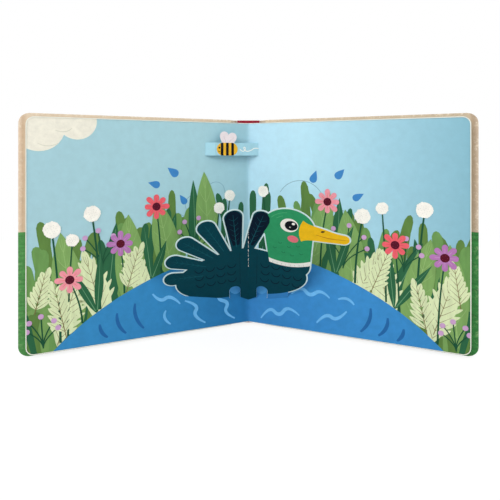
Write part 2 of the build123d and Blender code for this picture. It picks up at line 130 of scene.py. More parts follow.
def surface(origin, right, up):
    """Lays flat millimetres on a surface: x to its right, y up it, z out of it."""
    out = right.cross(up)
    axes = Matrix((right, up, out)).transposed().to_4x4()
    return Matrix.Translation(origin * MM) @ axes @ Matrix.Scale(MM, 4)


def page_right(side):
    """The way across a page, from the reader's left to their right."""
    return Vector((cos(PAGE_TURN), -side * sin(PAGE_TURN), 0))


def page(side):
    """The printed face of a page, from the foot of the gutter."""
    return surface(Vector((0, gutter, page_foot)), page_right(side), Vector((0, 0, 1)))


def crease_direction():
    """The way up the duck's crease."""
    return Vector((0, -sin(CREASE_LEAN), cos(CREASE_LEAN)))


def glue_direction(side):
    """The way out along the line that one half of the duck is glued on."""
    out = sin(GLUE_ANGLE)
    return Vector((side * out * cos(PAGE_TURN), -out * sin(PAGE_TURN), cos(GLUE_ANGLE)))


def wing(side):
    """One half of the folded duck, from the foot of its crease, y along the crease."""
    crease, glue = crease_direction(), glue_direction(side)
    right = (glue - crease * glue.dot(crease)).normalized() * side
    foot = Vector((0, gutter - 2 * INK / cos(PAGE_TURN), page_foot + FOLD_RISE))
    return surface(foot, right, crease)


def strap():
    """The long face of the strap, from its raised end."""
    lift = 2 * INK + STRAP_CARD / 2
    out = {side: Vector((-side * sin(PAGE_TURN), -cos(PAGE_TURN), 0)) * lift for side in BOTH}
    middle = Vector((0, gutter, page_foot + STRAP_FOOT))
    left_end = middle - page_right(LEFT) * STRAP_LEFT + out[LEFT]
    right_end = middle + page_right(RIGHT) * STRAP_RIGHT + out[RIGHT]
    corner = left_end + page_right(RIGHT) * STRAP_RIGHT
    return surface(corner, (right_end - corner).normalized(), Vector((0, 0, 1)))


def shore_places(side):
    """The pond's edge on one page, read from its solid, from the gutter outwards."""
    to_page = page(side).inverted()
    places = [to_page @ vertex.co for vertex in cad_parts["pond_print"].data.vertices]
    edge = {(round(place.x * side, 3), place.y) for place in places
            if abs(place.z) < 2 * INK and place.x * side > -0.01 and place.y > 0.5}
    return sorted(edge) + [(POND_REACH, 0.0)]


SHORE = {side: shore_places(side) for side in BOTH}


def shore(side, x):
    """How high the pond's edge is over the page's foot."""
    across = abs(x)
    for (near, near_up), (far, far_up) in zip(SHORE[side], SHORE[side][1:]):
        if near <= across <= far and far > near:
            return near_up + (far_up - near_up) * (across - near) / (far - near)
    return 0.0


def on_meadow(side):
    """Draws a place in where it would pass the page's edges or lie over the pond."""
    reach, corner = page_width - EDGE_GAP, PAGE_CORNER - EDGE_GAP
    corner_across = page_width - PAGE_CORNER

    def kept(x, y):
        across = min(max(x * side, GUTTER_GAP), reach)
        y = min(max(y, shore(side, across), EDGE_GAP), page_height - EDGE_GAP)
        for middle_up in (PAGE_CORNER, page_height - PAGE_CORNER):
            run = Vector((across - corner_across, y - middle_up))
            outside = run.y < 0 if middle_up == PAGE_CORNER else run.y > 0
            if run.x > 0 and outside and run.length > corner:
                run = run.normalized() * corner
                across, y = corner_across + run.x, middle_up + run.y
        return across * side, y

    return kept


def beside_crease(side):
    """Draws a place in where it would pass the crease."""
    def kept(x, y):
        return max(x * side, CREASE_GAP) * side, y

    return kept


# Materials

# The sockets of a Mix node that mixes colours
MIX_SHARE, MIX_FIRST, MIX_SECOND, MIX_RESULT = 0, 6, 7, 2
# Stretches of a pattern: into the flat leaves of a stack, and into upright brush marks
ALONG_PAGE = (2000, 1, 2000)
UPRIGHT = (1, 1, 5)
FIBRE = 0.3
FIBRE_RELIEF = 0.10
SHEEN_SWING = 0.08
COLOUR_BLUR = 0.05
# Wear on the case: how far out it is fullest, how far in it goes at each rim, and the size of its patches
WORN_REACH, FORE_EDGE_WEAR, HEAD_WEAR, WORN_PATCH = 173.0, 4, 2.5, 2.2


def added(tree, kind, inputs=None, **settings):
    """Adds a node with its settings. An input takes a plain value, or the output that it is linked to."""
    node = tree.nodes.new(kind)
    for setting, value in settings.items():
        setattr(node, setting, value)
    for socket, value in (inputs or {}).items():
        if isinstance(value, bpy.types.NodeSocket):
            tree.links.new(value, node.inputs[socket])
        else:
            node.inputs[socket].default_value = value
    return node


def linear(colour):
    """A colour of 0 to 255 as the eye reads it, in the renderer's linear values."""
    def channel(value):
        share = value / 255
        return share / 12.92 if share <= 0.04045 else ((share + 0.055) / 1.055) ** 2.4
    return (*(channel(value) for value in colour), 1)


def noise(tree, place, size, detail=4.0, roughness=0.6):
    """A soft random pattern with marks of one size in millimetres."""
    return added(tree, "ShaderNodeTexNoise", {"Vector": place, "Scale": 1 / (size * MM), "Detail": detail,
                                              "Roughness": roughness}).outputs["Fac"]


def stretched(tree, place, scale, turn=0.0):
    """Coordinates turned about the upright and squeezed, so that marks run one way."""
    return added(tree, "ShaderNodeMapping", {"Vector": place, "Rotation": (0, 0, turn), "Scale": scale},
                 vector_type="TEXTURE").outputs["Vector"]


def ramp(tree, value, stops):
    """Colours along a value: pairs of a place from 0 to 1 and a linear colour."""
    tint = added(tree, "ShaderNodeValToRGB", {"Fac": value})
    elements = tint.color_ramp.elements
    elements[0].position, elements[0].color = stops[0]
    elements[1].position, elements[1].color = stops[-1]
    for place, colour in stops[1:-1]:
        elements.new(place).color = colour
    return tint.outputs["Color"]


def mixed(tree, share, first, second, blend="MIX"):
    """Two colours, blended by a share that is a number or a pattern."""
    return added(tree, "ShaderNodeMix", {MIX_SHARE: share, MIX_FIRST: first, MIX_SECOND: second},
                 data_type="RGBA", blend_type=blend).outputs[MIX_RESULT]


def shaded(tree, tint, pattern, dark, pale):
    """A tint made darker and paler by a pattern. Each end is a place in it and a share of the tint."""
    stops = [(place, (share, share, share, 1)) for place, share in (dark, pale)]
    return mixed(tree, 1.0, tint, ramp(tree, pattern, stops), "MULTIPLY")


def worked_out(tree, operation, *values):
    """What one sum gives, on numbers or patterns."""
    return added(tree, "ShaderNodeMath", dict(enumerate(values)), operation=operation).outputs[0]


def share_between(tree, value, low, high):
    """How far a value is on its way from low to high, from 0 to 1."""
    spread = added(tree, "ShaderNodeMapRange", {"Value": value, "From Min": low, "From Max": high})
    return spread.outputs["Result"]


def along(tree, place, axis, low, high):
    """How far a place is along one axis, from 0 at low to 1 at high, in millimetres."""
    split = added(tree, "ShaderNodeSeparateXYZ", {"Vector": place})
    return share_between(tree, split.outputs[axis], low * MM, high * MM)


def worn_rims(tree, place):
    """Where the case is rubbed: its fore-edges, its head and its foot, in patches."""
    split = added(tree, "ShaderNodeSeparateXYZ", {"Vector": place})
    rims = []
    for axis, middle, half, worn in (("X", 0, WORN_REACH, FORE_EDGE_WEAR),
                                     ("Z", case_height / 2, case_height / 2, HEAD_WEAR)):
        shifted = worked_out(tree, "SUBTRACT", split.outputs[axis], middle * MM)
        away = worked_out(tree, "ABSOLUTE", shifted)
        rims.append(share_between(tree, away, (half - worn) * MM, half * MM))
    patches = share_between(tree, noise(tree, place, WORN_PATCH, detail=6.0, roughness=0.7), 0.5, 0.62)
    return worked_out(tree, "MULTIPLY", worked_out(tree, "MAXIMUM", *rims), patches)


def printed_card(name, colour, size=6.0, mottle=0.05, streak=(1, 1, 1), turn=0.0, roughness=0.5,
                 gloss=0.14, across=None, below=None, worn=None, lines=None):
    """Printed card: a painted tint, with painted light and shade across it where a ramp is given, brush
    marks that may run one way, fibres and a faint sheen.
    """
    material = bpy.data.materials.new(name)
    material.use_nodes = True
    tree = material.node_tree
    shader = tree.nodes["Principled BSDF"]
    place = added(tree, "ShaderNodeTexCoord").outputs["Object"]
    tint = linear(colour)
    # A ramp of colours across the case; the sky, the pond and the case's cream and green hold painted
    # light and shade in theirs
    if across:
        low, high = across[0][0], across[-1][0]
        stops = [((at - low) / (high - low), linear(shade)) for at, shade in across]
        tint = ramp(tree, along(tree, place, "X", low, high), stops)
    if below:
        height, shade = below
        over = along(tree, place, "Z", height, height + COLOUR_BLUR)
        tint = mixed(tree, over, linear(shade), tint)
    marks = noise(tree, stretched(tree, place, streak, turn), size)
    tint = shaded(tree, tint, marks, (0.32, 1 - mottle), (0.68, 1 + mottle))
    if lines:
        thickness, dark = lines
        leaves = noise(tree, stretched(tree, place, ALONG_PAGE, turn), thickness, detail=2.0)
        tint = shaded(tree, tint, leaves, (0.40, dark), (0.56, 1))
    if worn:
        tint = mixed(tree, worn_rims(tree, place), tint, linear(worn))
    relief = added(tree, "ShaderNodeBump", {"Height": noise(tree, place, FIBRE, detail=3.0),
                                            "Strength": FIBRE_RELIEF, "Distance": FIBRE * MM})
    sheen = added(tree, "ShaderNodeMapRange", {"Value": marks, "To Min": roughness - SHEEN_SWING,
                                               "To Max": roughness + SHEEN_SWING})
    tree.links.new(tint, shader.inputs["Base Color"])
    tree.links.new(relief.outputs["Normal"], shader.inputs["Normal"])
    tree.links.new(sheen.outputs["Result"], shader.inputs["Roughness"])
    shader.inputs["Specular IOR Level"].default_value = gloss
    return material


# Colours from the left end of the case to its right end: across in millimetres, then the colour
# The sky is partly a printed wash and partly painted light and shade: painted shade over the left page,
# deepest by the gutter, and painted light on the right page by the gutter, fading to painted shade at its
# fore-edge
SKY = [(-165, (166, 205, 214)), (-40, (168, 209, 218)), (-2, (158, 201, 213)), (2, (184, 224, 241)),
       (45, (188, 229, 244)), (110, (161, 207, 223)), (165, (137, 187, 203))]
# The pond carries painted shade: darker over the left page and deepest by the gutter, lighter over the
# right page
POND = [(-165, (57, 141, 197)), (-60, (50, 134, 191)), (-3, (34, 116, 174)), (3, (56, 134, 198)),
        (90, (60, 142, 206)), (165, (54, 136, 198))]
# The case has painted shade in a narrow band inside each fore-edge, where the rounded board edge turns
# in, a painted highlight on the rim outside it, and painted shade over the whole right-hand cover
CREAM = [(-174, (234, 214, 192)), (-172, (228, 205, 180)), (-170, (208, 180, 150)),
         (-168.6, (216, 192, 164)), (-167, (228, 208, 182)), (167, (204, 186, 160)),
         (168.8, (182, 160, 134)), (170.6, (180, 158, 134)), (172.2, (208, 188, 164)),
         (174, (216, 198, 176))]
# The case's green, with painted shade that darkens it over the right-hand cover
GRASS = [(-170, (80, 144, 78)), (170, (56, 126, 64))]
PAGE_EDGE = {"colour": (232, 228, 216), "gloss": 0.08, "roughness": 0.8, "lines": (0.5, 0.74)}
CARDS = {
    "sky_print": {"colour": (168, 208, 220), "mottle": 0.03, "across": SKY},
    "left_page_edge": {**PAGE_EDGE, "turn": PAGE_TURN},
    "right_page_edge": {**PAGE_EDGE, "turn": -PAGE_TURN},
    "grey_board": {"colour": (150, 146, 138), "size": 1.2, "mottle": 0.16, "roughness": 0.9},
    "spine_red": {"colour": (150, 26, 44), "size": 3, "mottle": 0.08, "streak": UPRIGHT,
                  "worn": (176, 74, 84)},
    "case_cream": {"colour": (222, 202, 174), "size": 5, "worn": (238, 226, 206), "across": CREAM,
                   "below": (green_height, (68, 136, 72))},
    "case_green": {"colour": (76, 142, 78), "size": 3.4, "mottle": 0.30, "streak": (5, 5, 0.8),
                   "worn": (132, 172, 116), "across": GRASS},
    "pastedown_card": {"colour": (236, 230, 216), "mottle": 0.04},
    "die_cut_card": {"colour": (214, 236, 236), "gloss": 0.10},
    "strap_card": {"colour": (166, 212, 226)},
    # The pale rim of a page's cut card: partly its bare core, partly painted highlight on the rounded
    # edge
    "card_core": {"colour": (238, 238, 226), "mottle": 0.04, "gloss": 0.08, "roughness": 0.7},
}
INKS = {
    "teal_ink": (0, 64, 76), "navy_ink": (2, 24, 42), "quill_ink": (14, 86, 96),
    "green_ink": (44, 152, 98), "bright_green_ink": (72, 174, 116), "deep_green_ink": (28, 116, 76),
    "yellow_ink": (248, 194, 18), "amber_ink": (206, 140, 18), "blush_ink": (236, 116, 128),
    "white_ink": (250, 246, 236), "grey_ink": (196, 200, 190), "black_ink": (14, 18, 26),
    "pond_ink": (50, 132, 194), "ripple_ink": (36, 102, 164), "squiggle_ink": (110, 184, 236),
    # The ink of the duck's pressed outline is painted shade, for the shade in its groove on the sky
    "shallow_ink": (78, 156, 214), "drop_ink": (62, 133, 196), "pressed_sky_ink": (136, 176, 192),
    "honey_ink": (238, 182, 44), "insect_wing_ink": (238, 226, 228), "insect_vein_ink": (206, 186, 192),
    "cloud_ink": (238, 234, 218), "cloud_line_ink": (216, 214, 196),
    "meadow_ink": (120, 160, 90), "olive_leaf_ink": (94, 130, 64), "soft_leaf_ink": (108, 152, 84),
    "dark_leaf_ink": (43, 100, 66), "mid_leaf_ink": (127, 166, 95), "pale_leaf_ink": (218, 229, 182),
    "mid_vein_ink": (152, 188, 116), "dark_vein_ink": (96, 148, 108), "pale_vein_ink": (126, 112, 70),
    "stem_ink": (34, 84, 58), "coral_ink": (238, 98, 108), "pink_ink": (242, 154, 165),
    "lilac_ink": (182, 120, 180), "berry_ink": (202, 160, 202), "maroon_ink": (88, 20, 40),
    "maroon_spot_ink": (128, 44, 62), "petal_line_ink": (214, 70, 88),
}
FINISHES = {name: printed_card(name, **look) for name, look in CARDS.items()}
for ink, colour in INKS.items():
    look = {"size": 4, "mottle": 0.06, "gloss": 0.07 if max(colour) < 100 else 0.14}
    # The pond's ink takes its colours from POND, with their painted shade
    if ink == "pond_ink":
        look = {"size": 6, "mottle": 0.06, "across": POND}
    elif "leaf" in ink or ink == "meadow_ink":
        look = {"size": 3, "mottle": 0.09, "streak": UPRIGHT}
    FINISHES[ink] = printed_card(ink, colour, **look)

NODE_FINISHES = {
    "spread_sheet": "sky_print", "left_pages": "left_page_edge", "right_pages": "right_page_edge",
    "spine_board": "grey_board", "spine_paper": "spine_red", "duck_pop_up": "die_cut_card",
    "duck_body_print": "teal_ink", "duck_head_print": "green_ink", "duck_bill_print": "yellow_ink",
    "duck_collar_print": "white_ink", "duck_water_print": "pond_ink", "duck_eye_print": "white_ink",
    "duck_pupil_print": "black_ink", "bee_strap": "strap_card", "bee_body_print": "honey_ink",
    "bee_wing_print": "insect_wing_ink", "bee_band_print": "black_ink", "pond_print": "pond_ink",
    "bank_print": "meadow_ink", "cloud_print": "cloud_ink", "dark_leaf_print": "dark_leaf_ink",
    "mid_leaf_print": "mid_leaf_ink", "pale_leaf_print": "pale_leaf_ink",
    "coral_flower_print": "coral_ink", "lilac_flower_print": "lilac_ink",
    "white_flower_print": "white_ink", "flower_centre_print": "maroon_ink",
}
for cover in ("front", "back"):
    NODE_FINISHES[f"{cover}_cover_board"] = "grey_board"
    NODE_FINISHES[f"{cover}_cover_paper"] = "case_cream"
    NODE_FINISHES[f"{cover}_pastedown"] = "pastedown_card"
    NODE_FINISHES[f"{cover}_cover_green_field"] = "case_green"
for name, finish in NODE_FINISHES.items():
    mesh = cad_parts[name].data
    mesh.materials.clear()
    mesh.materials.append(FINISHES[finish])


# Node trees that print. A film is a closed layer of ink.

FILM = 0.012
WELD = 0.002
# What both trees take besides their own values
PRINTED = {"Film": "NodeSocketFloat", "Ink": "NodeSocketMaterial"}


def new_tree(name, inputs):
    """A node tree that takes a drawing and named values and gives a mesh, and the node of its inputs."""
    tree = bpy.data.node_groups.new(name, "GeometryNodeTree")
    for label, kind in {"Geometry": "NodeSocketGeometry", **inputs, **PRINTED}.items():
        tree.interface.new_socket(label, in_out="INPUT", socket_type=kind)
    tree.interface.new_socket("Geometry", in_out="OUTPUT", socket_type="NodeSocketGeometry")
    return tree, added(tree, "NodeGroupInput")


def print_film(tree, given, flat):
    """Gives a flat mesh its thickness, closes it, sets its ink and hands it out."""
    whole = added(tree, "GeometryNodeMergeByDistance", {"Geometry": flat, "Distance": WELD})
    up = added(tree, "ShaderNodeCombineXYZ", {"Z": given.outputs["Film"]})
    raised = added(tree, "GeometryNodeExtrudeMesh", {"Mesh": whole.outputs["Geometry"],
                                                     "Offset": up.outputs["Vector"], "Individual": False})
    under = added(tree, "GeometryNodeFlipFaces", {"Mesh": whole.outputs["Geometry"]})
    both = added(tree, "GeometryNodeJoinGeometry")
    for half in (raised, under):
        tree.links.new(half.outputs["Mesh"], both.inputs["Geometry"])
    closed = added(tree, "GeometryNodeMergeByDistance", {"Geometry": both.outputs["Geometry"],
                                                         "Distance": WELD})
    real = added(tree, "GeometryNodeRealizeInstances", {"Geometry": closed.outputs["Geometry"]})
    inked = added(tree, "GeometryNodeSetMaterial", {"Geometry": real.outputs["Geometry"],
                                                    "Material": given.outputs["Ink"]})
    added(tree, "NodeGroupOutput", {"Geometry": inked.outputs["Geometry"]})


def named(tree, name, kind):
    """A value that the drawing's points carry."""
    value = added(tree, "GeometryNodeInputNamedAttribute", {"Name": name}, data_type=kind)
    return value.outputs["Attribute"]


def stamp_tree():
    """Prints one flat motif at every point, turned and sized by the point's own values."""
    tree, given = new_tree("stamped_motif", {"Motif": "NodeSocketObject"})
    motif = added(tree, "GeometryNodeObjectInfo", {"Object": given.outputs["Motif"]})
    spin = added(tree, "FunctionNodeAxisAngleToRotation", {"Axis": (0, 0, 1),
                                                           "Angle": named(tree, "turn", "FLOAT")})
    stamped = added(tree, "GeometryNodeInstanceOnPoints", {
        "Points": given.outputs["Geometry"], "Instance": motif.outputs["Geometry"],
        "Rotation": spin.outputs["Rotation"], "Scale": named(tree, "size", "FLOAT_VECTOR")})
    real = added(tree, "GeometryNodeRealizeInstances", {"Geometry": stamped.outputs["Instances"]})
    print_film(tree, given, real.outputs["Geometry"])
    return tree


def stroke_tree():
    """Draws a flat stroke along every curve, as wide as the curve's radius says."""
    tree, given = new_tree("brush_stroke", {"Step": "NodeSocketFloat"})
    even = added(tree, "GeometryNodeResampleCurve", {"Curve": given.outputs["Geometry"],
                                                     "Length": given.outputs["Step"]}, mode="LENGTH")
    flat = added(tree, "GeometryNodeSetCurveNormal", {"Curve": even.outputs["Curve"]}, mode="Z_UP")
    nib = added(tree, "GeometryNodeCurvePrimitiveLine", {"Start": (-1, 0, 0), "End": (1, 0, 0)})
    drawn = added(tree, "GeometryNodeCurveToMesh", {
        "Curve": flat.outputs["Curve"], "Profile Curve": nib.outputs["Curve"],
        "Scale": added(tree, "GeometryNodeInputRadius").outputs["Radius"]})
    print_film(tree, given, drawn.outputs["Mesh"])
    return tree


STAMP = stamp_tree()
STROKE = stroke_tree()


def grown(data, tree, values):
    """The plain mesh that a node tree makes of a drawing."""
    holder = bpy.data.objects.new("drawing", data)
    bpy.context.scene.collection.objects.link(holder)
    modifier = holder.modifiers.new("print", "NODES")
    modifier.node_group = tree
    for item in tree.interface.items_tree:
        if item.in_out == "INPUT" and item.name in values:
            modifier[item.identifier] = values[item.name]
    depsgraph = bpy.context.evaluated_depsgraph_get()
    mesh = bpy.data.meshes.new_from_object(holder.evaluated_get(depsgraph))
    bpy.data.objects.remove(holder)
    return mesh


# Motifs, each one unit long from its root, and one unit wide

# Half a width that counts as a point
POINTED = 0.004


def round_tipped(share, root, round_from):
    """Half the width of a motif that widens from its root and ends round."""
    tip = max(0.0, (share - round_from) / (1 - round_from))
    return 0.5 * (root + (1 - root) * min(1, share / 0.7)) * sqrt(max(0, 1 - tip * tip))


def blade(share):
    """A blade that widens to a round tip."""
    return round_tipped(share, 0.6, 0.88)


def petal(share):
    """A petal, narrow at its root and round at its tip."""
    return round_tipped(share, 0.4, 0.74)


def lance(share):
    """A leaf with two points, widest below its middle."""
    return 0.5 * sin(pi * share ** 0.85)


def lobe(share):
    """A long oval."""
    return 0.5 * sin(pi * share) ** 0.7 if 0 < share < 1 else 0.0


def drop(share):
    """A drop with its point at the top."""
    return 0.5 * sin(pi * share ** 0.55) if 0 < share < 1 else 0.0


def disc(share):
    """A round spot."""
    return sqrt(max(0, share * (1 - share)))


def motif(profile, steps, bend=0.0):
    """The flat mesh of a motif, from how wide it is on its way from root to tip."""
    points, rows, faces = [], [], []
    for step in range(steps + 1):
        share = (1 - cos(pi * step / steps)) / 2
        half, shift = profile(share), bend * share * share
        row = [shift] if half < POINTED else [shift - half, shift + half]
        rows.append([len(points) + index for index in range(len(row))])
        points += [(x, share, 0) for x in row]
    for low, high in zip(rows, rows[1:]):
        faces.append(low + high[::-1])
    mesh = bpy.data.meshes.new(profile.__name__)
    mesh.from_pydata(points, [], faces)
    holder = bpy.data.objects.new(profile.__name__, mesh)
    bpy.context.scene.collection.objects.link(holder)
    return holder


BLADE_BEND, LANCE_BEND = 0.35, 0.25
BLADE, LANCE, PETAL = motif(blade, 12, BLADE_BEND), motif(lance, 14, LANCE_BEND), motif(petal, 10)
LOBE, DROP, DISC = motif(lobe, 8), motif(drop, 12), motif(disc, 16)

DRAWN = {ink: [] for ink in FINISHES}
STAGGER = 0.0016
STAGGERED = 7


def step_up(index):
    """A hair's height that differs from one mark to the next, so that marks may overlap."""
    return STAGGER * (index % STAGGERED)


def put(ink, place, lift, flat, kept):
    """Keeps a flat drawing for its ink, laid on a surface at a height."""
    if kept:
        for vertex in flat.vertices:
            vertex.co.x, vertex.co.y = kept(vertex.co.x, vertex.co.y)
    flat.transform(place @ Matrix.Translation((0, 0, lift)))
    DRAWN[ink].append(flat)


def stamps(ink, place, lift, shape, marks, kept=None):
    """Prints a motif at each mark: x, y, turn, width and length."""
    points = bpy.data.meshes.new("marks")
    points.from_pydata([(mark[0], mark[1], step_up(index)) for index, mark in enumerate(marks)], [], [])
    turns = points.attributes.new("turn", "FLOAT", "POINT")
    sizes = points.attributes.new("size", "FLOAT_VECTOR", "POINT")
    for index, mark in enumerate(marks):
        turns.data[index].value = mark[2]
        sizes.data[index].vector = (mark[3], mark[4], 1)
    values = {"Motif": shape, "Film": FILM, "Ink": FINISHES[ink]}
    put(ink, place, lift, grown(points, STAMP, values), kept)


def strokes(ink, place, lift, paths, kept=None, step=0.9):
    """Draws brush strokes, each a list of x, y and half width."""
    lines = bpy.data.curves.new("lines", "CURVE")
    lines.dimensions = "3D"
    for index, path in enumerate(paths):
        line = lines.splines.new("NURBS")
        line.points.add(len(path) - 1)
        line.order_u = min(3, len(path))
        line.use_endpoint_u = True
        for point, (x, y, half) in zip(line.points, path):
            point.co = (x, y, step_up(index), 1)
            point.radius = half
    values = {"Step": step, "Film": FILM, "Ink": FINISHES[ink]}
    put(ink, place, lift, grown(lines, STROKE, values), kept)


def spots(marks):
    """Marks for round spots by their centres: x, y and radius."""
    return [(x, y - radius, 0, 2 * radius, 2 * radius) for x, y, radius in marks]


# Heights of the inks over a page's face
PRESSED_LIFT = 0.002
FAR_LIFT, FAR_SOFT_LIFT, GUTTER_LIFT = 0.018, 0.034, 0.056
WATER_LIFT = 0.083
NEAR_LIFT, NEAR_SOFT_LIFT, NEAR_DARK_LIFT = 0.083, 0.100, 0.117
DARK_VEIN_LIFT, MID_VEIN_LIFT = 0.163, 0.243
LOBE_LIFT, PALE_VEIN_LIFT = 0.310, 0.324
STEM_LIFT, LANCE_LIFT, LANCE_VEIN_LIFT = 0.338, 0.352, 0.378
FERN_LIFT, FERN_VEIN_LIFT, BERRY_LIFT = 0.388, 0.400, 0.414
TUFT_LIFT, PETAL_LIFT, PETAL_LINE_LIFT = 0.403, 0.428, 0.452
CENTRE_LIFT, CENTRE_SPOT_LIFT = 0.483, 0.497
RIM_LIFT = 0.520

# Blades that fill the meadow at a page's fore-edge: across, up, turn, width and length
EDGE_BLADES = {
    LEFT: [(-168, 14, 0.02, 9, 64), (-175, 6, 0.06, -10, 60), (-158, 16, -0.04, 9, 66)],
    RIGHT: [(174, 20, -0.08, 10, 62), (166, 24, -0.12, 9, 58), (177, 2, 0.03, 10, 44)],
}
GUTTER_ROW_END = {LEFT: 38, RIGHT: 20}
# The most that a blade leans, and how far its root lies under the shore
BLADE_LEAN, BURIED_FOOT = 0.34, 4
# Shares of a leaf's length: the midrib's places, where side veins and lobes start, how far they go
RIB_SHARES = (0.02, 0.15, 0.3, 0.45, 0.6, 0.78, 0.94)
VEIN_FIRST, LOBE_FIRST, SIDE_SPAN = 0.10, 0.14, 0.72
# How far veins keep from the shore and from the page's edge
VEIN_SHORE_GAP, VEIN_EDGE_GAP = 0.4, 0.6
LOBE_PAIRS, LOBE_WIDTH, LOBE_OVERHANG, LOBE_DIP = 8, 3.4, 2.2, 2


def leaf_places(side, leaf):
    """Finds a place in a printed leaf from its share of the length and of the half width there."""
    across, up, length, width, lean = leaf
    tall, half = length * page_height, width * page_width / 2
    spin = Matrix.Rotation(radians(-side * lean), 2)
    root = Vector((side * across * page_width, up * page_height))

    def at(share, out):
        bulge = half * (1 - (2 * share - 1) ** 2)
        return root + spin @ Vector((out * bulge, share * tall))

    return at


def above_shore(side, path):
    """The part of a path that is on the page and isn't over the pond."""
    return [(place.x, place.y, half) for place, half in path
            if place.y > shore(side, place.x) + VEIN_SHORE_GAP
            and abs(place.x) < page_width - VEIN_EDGE_GAP]


def veins(side, leaf, pairs, rib, fine):
    """A leaf's midrib, and its side veins in pairs."""
    at = leaf_places(side, leaf)
    lines = [[(at(share, 0), rib * (1 - 0.75 * share)) for share in RIB_SHARES]]
    for step in range(pairs):
        share = VEIN_FIRST + SIDE_SPAN * step / (pairs - 1)
        for out in BOTH:
            lines.append([(at(share, 0), fine), (at(share + 0.06, 0.45 * out), fine),
                          (at(share + 0.14, 0.86 * out), fine * 0.4)])
    parts = [above_shore(side, line) for line in lines]
    return [line for line in parts if len(line) > 1]


def lobe_marks(side, leaf):
    """The soft lobes along both edges of a pale leaf."""
    at = leaf_places(side, leaf)
    marks = []
    for step in range(LOBE_PAIRS):
        share = LOBE_FIRST + SIDE_SPAN * step / (LOBE_PAIRS - 1)
        for out in BOTH:
            start, end = at(share, 0.35 * out), at(share + 0.12, 1.25 * out)
            run = end - start
            if start.y > shore(side, start.x) - LOBE_DIP:
                long = run.length + LOBE_OVERHANG
                marks.append((start.x, start.y, atan2(-run.x, run.y), LOBE_WIDTH, long))
    return marks


def blade_marks(side, seed, count, start, end, root, low, high, wide):
    """A row of blades at uneven places, leaning both ways."""
    dice = Random(seed + side)
    marks = []
    for step in range(count):
        across = start + (end - start) * (step + dice.uniform(0.15, 0.85)) / count
        foot = max(shore(side, across), root) - BURIED_FOOT
        lean = dice.uniform(-BLADE_LEAN, BLADE_LEAN)
        width = dice.uniform(0.75, 1.15) * wide
        marks.append((side * across, foot, lean, width * dice.choice(BOTH), dice.uniform(low, high)))
    return marks


def meadow(side):
    """Blades of grass, then the lobes and the veins of the printed leaves of one page."""
    place, kept = page(side), on_meadow(side)
    # Seed, count, first and last place across, lowest foot, shortest and longest blade, width
    blade_rows = (
        ("olive_leaf_ink", FAR_LIFT, (11, 17, 34, 181, 36, 46, 74, 7.0), []),
        ("dark_leaf_ink", GUTTER_LIFT, (71, 4, 5, GUTTER_ROW_END[side], 64, 38, 64, 5.6), []),
        ("soft_leaf_ink", FAR_SOFT_LIFT, (23, 17, 38, 183, 36, 34, 62, 8.5), EDGE_BLADES[side]),
        ("soft_leaf_ink", NEAR_LIFT, (31, 12, 66, 183, 0, 24, 46, 9.0), []),
        ("olive_leaf_ink", NEAR_SOFT_LIFT, (43, 11, 62, 182, 0, 22, 42, 7.5), []),
        ("dark_leaf_ink", NEAR_DARK_LIFT, (57, 7, 58, 174, 0, 34, 62, 6.0), []),
    )
    for ink, lift, row, more in blade_rows:
        stamps(ink, place, lift, BLADE, blade_marks(side, *row) + more, kept)
    lobes = [mark for leaf in PALE_LEAVES[side] for mark in lobe_marks(side, leaf)]
    stamps("pale_leaf_ink", place, LOBE_LIFT, LOBE, lobes, kept)
    # Pairs of side veins, then the half widths of the midrib and of the side veins
    vein_kinds = (
        ("dark_vein_ink", DARK_VEIN_LIFT, DARK_LEAVES, (0, 0.5, 0.2)),
        ("mid_vein_ink", MID_VEIN_LIFT, MID_LEAVES, (6, 0.42, 0.17)),
        ("pale_vein_ink", PALE_VEIN_LIFT, PALE_LEAVES, (8, 0.34, 0.17)),
    )
    for ink, lift, leaves, kind in vein_kinds:
        drawn = [line for leaf in leaves[side] for line in veins(side, leaf, *kind)]
        strokes(ink, place, lift, drawn, kept)


PETAL_COUNT, PETAL_WIDTH, PETAL_LENGTH, PETAL_UNEVEN = 8, 4.5, 10.2, 0.7
# The line in a petal: how far out, then its half width there
PETAL_LINE = ((3.0, 0.16), (5.2, 0.14), (7.2, 0.06))
CENTRE_RADIUS, DOT_RING, DOT_RADIUS = 3.3, 1.9, 0.28
TUFT_COUNT, SEED_COUNT, SEED_RADIUS = 20, 18, 0.2
SEED_HEAD_RADIUS, SMALL_HEAD_RADIUS = 5.6, 4.2
# Stems: half width, and how far the foot stands from under the head
FLOWER_STEM, SEED_STEM, SMALL_STEM = 0.62, 0.75, 0.6
FLOWER_DRIFTS = {LEFT: (4, 9, 3), RIGHT: (-3, 6, 5)}
SEED_DRIFT, SMALL_DRIFT = 6, -3
TWIG, BERRY_RADIUS = 0.42, 2.0
# Each berry of a spray: how far up and how far out, as shares of the spray's height
BERRIES = ((1.0, 0.0), (0.86, -0.34), (0.80, 0.36), (0.60, -0.42), (0.56, 0.46))
FERN_PAIRS, FERN_LOBE = 6, 4.2
LANCE_WIDTH = 6.6
# Berry sprays and ferns: across, up, height and lean
SPRAYS = {
    LEFT: [(52, 62, 34, -10), (124, 60, 30, 6), (166, 4, 24, 4)],
    RIGHT: [(84, 56, 36, 8), (131, 58, 26, 4), (168, 2, 22, -6)],
}
FERNS = {
    LEFT: [(106, 34, 40, -16), (150, 5, 44, 12), (172, 30, 34, -14)],
    RIGHT: [(106, 34, 38, 22), (148, 6, 42, -12), (171, 34, 34, -8)],
}
# Lance leaves on the shore: across, turn and length
LANCES = {
    LEFT: [(86, 0.10, 46), (86, -0.42, 34), (128, 0.46, 42), (128, -0.08, 50)],
    RIGHT: [(78, 0.30, 44), (78, -0.24, 38), (124, -0.12, 52), (124, 0.60, 46)],
}


def head_place(side, share):
    """The middle of a flower or seed head on its page."""
    across, up = share
    return side * across * page_width, up * page_height


